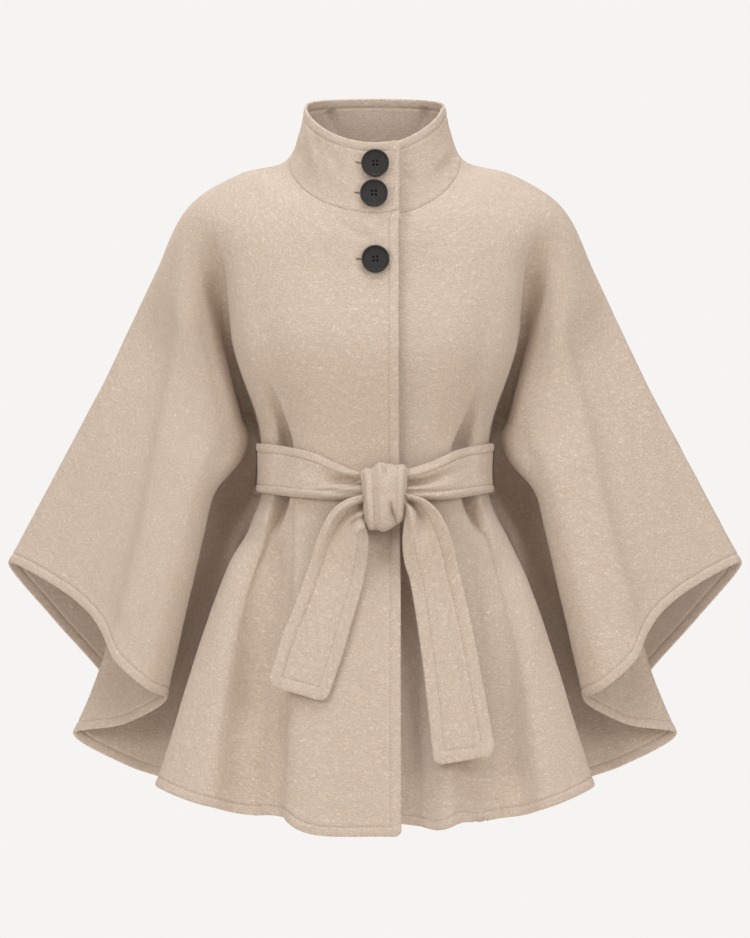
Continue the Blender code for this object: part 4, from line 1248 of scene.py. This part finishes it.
def addCylinder(name, radius, low, high, sides, place=(0, 0)):
    bpy.ops.object.select_all(action="DESELECT")
    middle = (place[0] * mm, place[1] * mm, (low + high) / 2 * mm)
    size = dict(vertices=sides, radius=radius * mm, depth=(high - low) * mm)
    bpy.ops.mesh.primitive_cylinder_add(location=middle, **size)
    bpy.ops.object.transform_apply(location=True, rotation=True, scale=True)
    made = bpy.context.object
    made.name = name
    return made


def joinAll(pieces):
    bpy.ops.object.select_all(action="DESELECT")
    for piece in pieces:
        piece.select_set(True)
    bpy.context.view_layer.objects.active = pieces[0]
    if len(pieces) > 1:
        bpy.ops.object.join()
    return pieces[0]


def makeButton():
    shape = buttonShape
    disc = addCylinder("button", shape["radius"], shape["under"], shape["top"], shape["sides"])
    bpy.ops.object.mode_set(mode="EDIT")
    bpy.ops.mesh.select_mode(type="FACE")
    bpy.ops.mesh.select_all(action="DESELECT")
    bpy.ops.object.mode_set(mode="OBJECT")
    for face in disc.data.polygons:
        face.select = face.normal.z > 0.9
    bpy.ops.object.mode_set(mode="EDIT")
    for wide in (shape["soft"], shape["rim"], shape["slope"]):
        bpy.ops.mesh.inset(thickness=wide * mm)
    bpy.ops.transform.translate(value=(0, 0, -shape["dish"] * mm))
    bpy.ops.object.mode_set(mode="OBJECT")
    off = shape["holeOff"]
    through = (shape["hole"], shape["under"] - shape["past"], shape["top"] + shape["past"], shape["holeSides"])
    drill = joinAll([addCylinder("drill", *through, (x, y)) for x in (-off, off) for y in (-off, off)])
    for kind, name in (("BOOLEAN", "holes"), ("BEVEL", "soft edges")):
        change = disc.modifiers.new(name, kind)
        if kind == "BOOLEAN":
            change.operation = "DIFFERENCE"
            change.object = drill
        else:
            change.width = shape["soft"] * mm
            change.segments = shape["softSteps"]
            change.limit_method = "ANGLE"
            change.angle_limit = math.radians(shape["sharp"])
        bpy.context.view_layer.objects.active = disc
        bpy.ops.object.modifier_apply(modifier=name)
    bpy.data.objects.remove(drill)
    foot = addCylinder("foot", shape["foot"], 0, shape["under"] + shape["footIn"], shape["footSides"])
    button = joinAll([disc, foot])
    bpy.ops.object.shade_smooth_by_angle(angle=math.radians(shape["smooth"]))
    button.data.materials.clear()
    button.data.materials.append(buttonPlastic)
    return button


def seatOf(x, z):  # the place on the cloth, with across, up and outward directions
    tries = np.linspace(0, belt, 241)
    down = np.interp(-z, -surface(np.zeros(len(tries)), tries)[:, 2], tries)
    across = placeAtX(x, down)
    at = np.array([across]), np.array([down])
    out, _, fall = directions(*at)
    return surface(*at)[0], np.cross(out[0], fall[0]), -fall[0], out[0]


def placeMesh(mesh, seat):
    origin, across, up, out = seat
    points = np.empty(len(mesh.vertices) * 3)
    mesh.vertices.foreach_get("co", points)
    points = points.reshape(-1, 3)
    moved = points[:, :1] * across + points[:, 1:2] * up + points[:, 2:] * out + origin * mm
    mesh.vertices.foreach_set("co", moved.ravel())
    mesh.update()


def makeButtons():
    model = makeButton()
    made = []
    for name, (x, z) in buttonPlaces.items():
        button = bpy.data.objects.new(name, model.data.copy())
        bpy.context.scene.collection.objects.link(button)
        origin, across, up, out = seatOf(x, z)
        placeMesh(button.data, (origin + out * buttonShape["lift"], across, up, out))
        made.append(dict(piece=button))
    bpy.data.objects.remove(model)
    return made


# Stitches: short lengths of thread that dip into the cloth at both ends
stitchShape = {
    "pitch": 4.0,
    "rings": [  # along, thickness and height
        (-1.0, 0.35, -0.5),
        (-0.55, 0.9, 0.15),
        (0, 1.0, 0.42),
        (0.55, 0.9, 0.15),
        (1.0, 0.35, -0.5),
    ],
    "half": 1.5,
    "aim": 0.8,  # a stitch points from this far before its middle to this far past it
    "thick": 0.3,
    "round": 5,
}


def stitchPoints(middles, along, out, half, thick):
    side = unit(np.cross(out, along))
    lift = unit(np.cross(along, side))
    turn = np.arange(stitchShape["round"]) * 2 * math.pi / stitchShape["round"]
    points = []
    for step, full, high in stitchShape["rings"]:
        for angle in turn:
            across, up = math.cos(angle) * full, math.sin(angle) * full + high
            points.append(middles + along * (step * half) + (side * across + lift * up) * thick)
    return np.stack(points, axis=1)


def stitchMesh(name, groups):
    points = np.concatenate(groups)
    count, each = points.shape[:2]
    rings, steps = len(stitchShape["rings"]), stitchShape["round"]
    index = np.arange(rings * steps).reshape(rings, steps)
    beside = np.roll(index, -1, axis=1)
    sides = np.stack([index[1:], beside[1:], beside[:-1], index[:-1]], axis=-1).reshape(-1, 4).tolist()
    template = sides + [index[0].tolist(), index[-1, ::-1].tolist()]
    faces = [[v + first for v in face] for first in range(0, count * each, each) for face in template]
    along, round = np.repeat(np.arange(rings), steps), np.tile(np.arange(steps), rings)
    flat = np.tile(np.stack([along, round], axis=1), (count, 1))
    return addMesh(name, points.reshape(-1, 3), faces, flat, sewingThread)


def readAlong(run, rows, at):  # points between the rows of a path
    return np.stack([np.interp(at, run, column) for column in rows.T], axis=1)


def stitchAlong(path, out):
    run = np.concatenate([[0], np.cumsum(length(np.diff(path, axis=0))[:, 0])])
    count = int(run[-1] / stitchShape["pitch"])
    at = (np.arange(count) + 0.5) * run[-1] / count
    aim = stitchShape["aim"]
    along = unit(readAlong(run, path, at + aim) - readAlong(run, path, at - aim))
    middles, lift = readAlong(run, path, at), unit(readAlong(run, out, at))
    return stitchPoints(middles, along, lift, stitchShape["half"], stitchShape["thick"])


def makeEdgeStitches():
    low, past = -1 - stitchLine, np.s_[stitchLine:]
    lines = []  # each with its piece and its side: 1 outside, -1 inside
    for made, columns in ((frontRight, past), (frontLeft, np.s_[: low + 1]), (backPanel, np.s_[:])):
        lines += [(made, 1, (low, columns)), (made, -1, (low, columns))]
    lines.append((frontRight, 1, (np.s_[: low + 1], stitchLine)))
    lines += [(collar, side, (stitchLine, past)) for side in (1, -1)]
    lines.append((collar, 1, (past, stitchLine)))
    stitches = []
    for made, side, at in lines:
        face = made["outer"] if side > 0 else made["inner"]
        stitches.append(stitchAlong(face[at], side * made["out"][at]))
    return stitchMesh("edgeStitches", stitches)


def makeBeltStitches():
    changes = np.diff(np.concatenate([[False], beltBand["shown"], [False]]).astype(int))
    edges = np.flatnonzero(changes)
    shown = list(zip(edges[::2], edges[1::2]))
    paths = [(points[a:b], out[a:b]) for points, out in beltBand["lines"] for a, b in shown]
    paths += beltKnot["lines"] + endRight["lines"] + endLeft["lines"]
    return stitchMesh("beltStitches", [stitchAlong(*path) for path in paths])


def makeButtonholes():
    shape = buttonHoles
    bars, points, faces = [], [], []
    for name, (x, z) in buttonPlaces.items():
        _, across, up, out = seatOf(x, z)
        rise = np.cross(out, unit(across + up * shape["tilt"].get(name, 0)))
        steps = np.arange(shape["from"], shape["to"], shape["pitch"])
        seats = np.array([seatOf(x + step, z)[0] for step in steps])
        alike = np.ones((len(steps), 1))
        for side in (-1, 1):
            middles = seats + rise * side * shape["off"] + out * shape["threadLift"]
            bars.append(stitchPoints(middles, alike * rise, alike * out, shape["half"], shape["thick"]))
        # a thin strip along the cut, in the dark browns of the painted shade in the gap
        first = len(points)
        lift, deep = shape["slitLift"], -shape["slitDeep"]
        corners = ((1, lift), (-1, lift), (-1, deep), (1, deep))
        for k, seat in enumerate(seats):
            points += [seat + rise * side * shape["slit"] + out * high for side, high in corners]
            if k:
                a, b = first + 4 * (k - 1), first + 4 * k
                faces += [(a + j, a + (j + 1) % 4, b + (j + 1) % 4, b + j) for j in range(4)]
        last = len(points) - 1
        faces += [(first + 3, first + 2, first + 1, first), (last - 3, last - 2, last - 1, last)]
    threads = stitchMesh("buttonholeThread", bars)
    return threads, addMesh("buttonholeSlitShade", np.array(points), faces, np.zeros((len(points), 2)), slitShade)


buttons = makeButtons()
edgeStitches, beltStitches = makeEdgeStitches(), makeBeltStitches()
holeThread, holeSlitShade = makeButtonholes()
print("buttons and stitches made")

# What each piece is in the model
for made, node in (
    (frontRight, "front_right"),
    (frontLeft, "front_left"),
    (backPanel, "back"),
    (collar, "collar"),
    (beltBand, "belt_band"),
    (beltKnot, "belt_knot"),
    (endRight, "belt_tail_right"),
    (endLeft, "belt_tail_left"),
):
    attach(made["piece"], "root")
    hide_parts(node)
for made, node in zip(buttons, ("button_top", "button_middle", "button_lower")):
    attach(made["piece"], "root")
    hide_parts(node)
for piece in (edgeStitches, beltStitches, holeThread, holeSlitShade):
    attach(piece, "root")
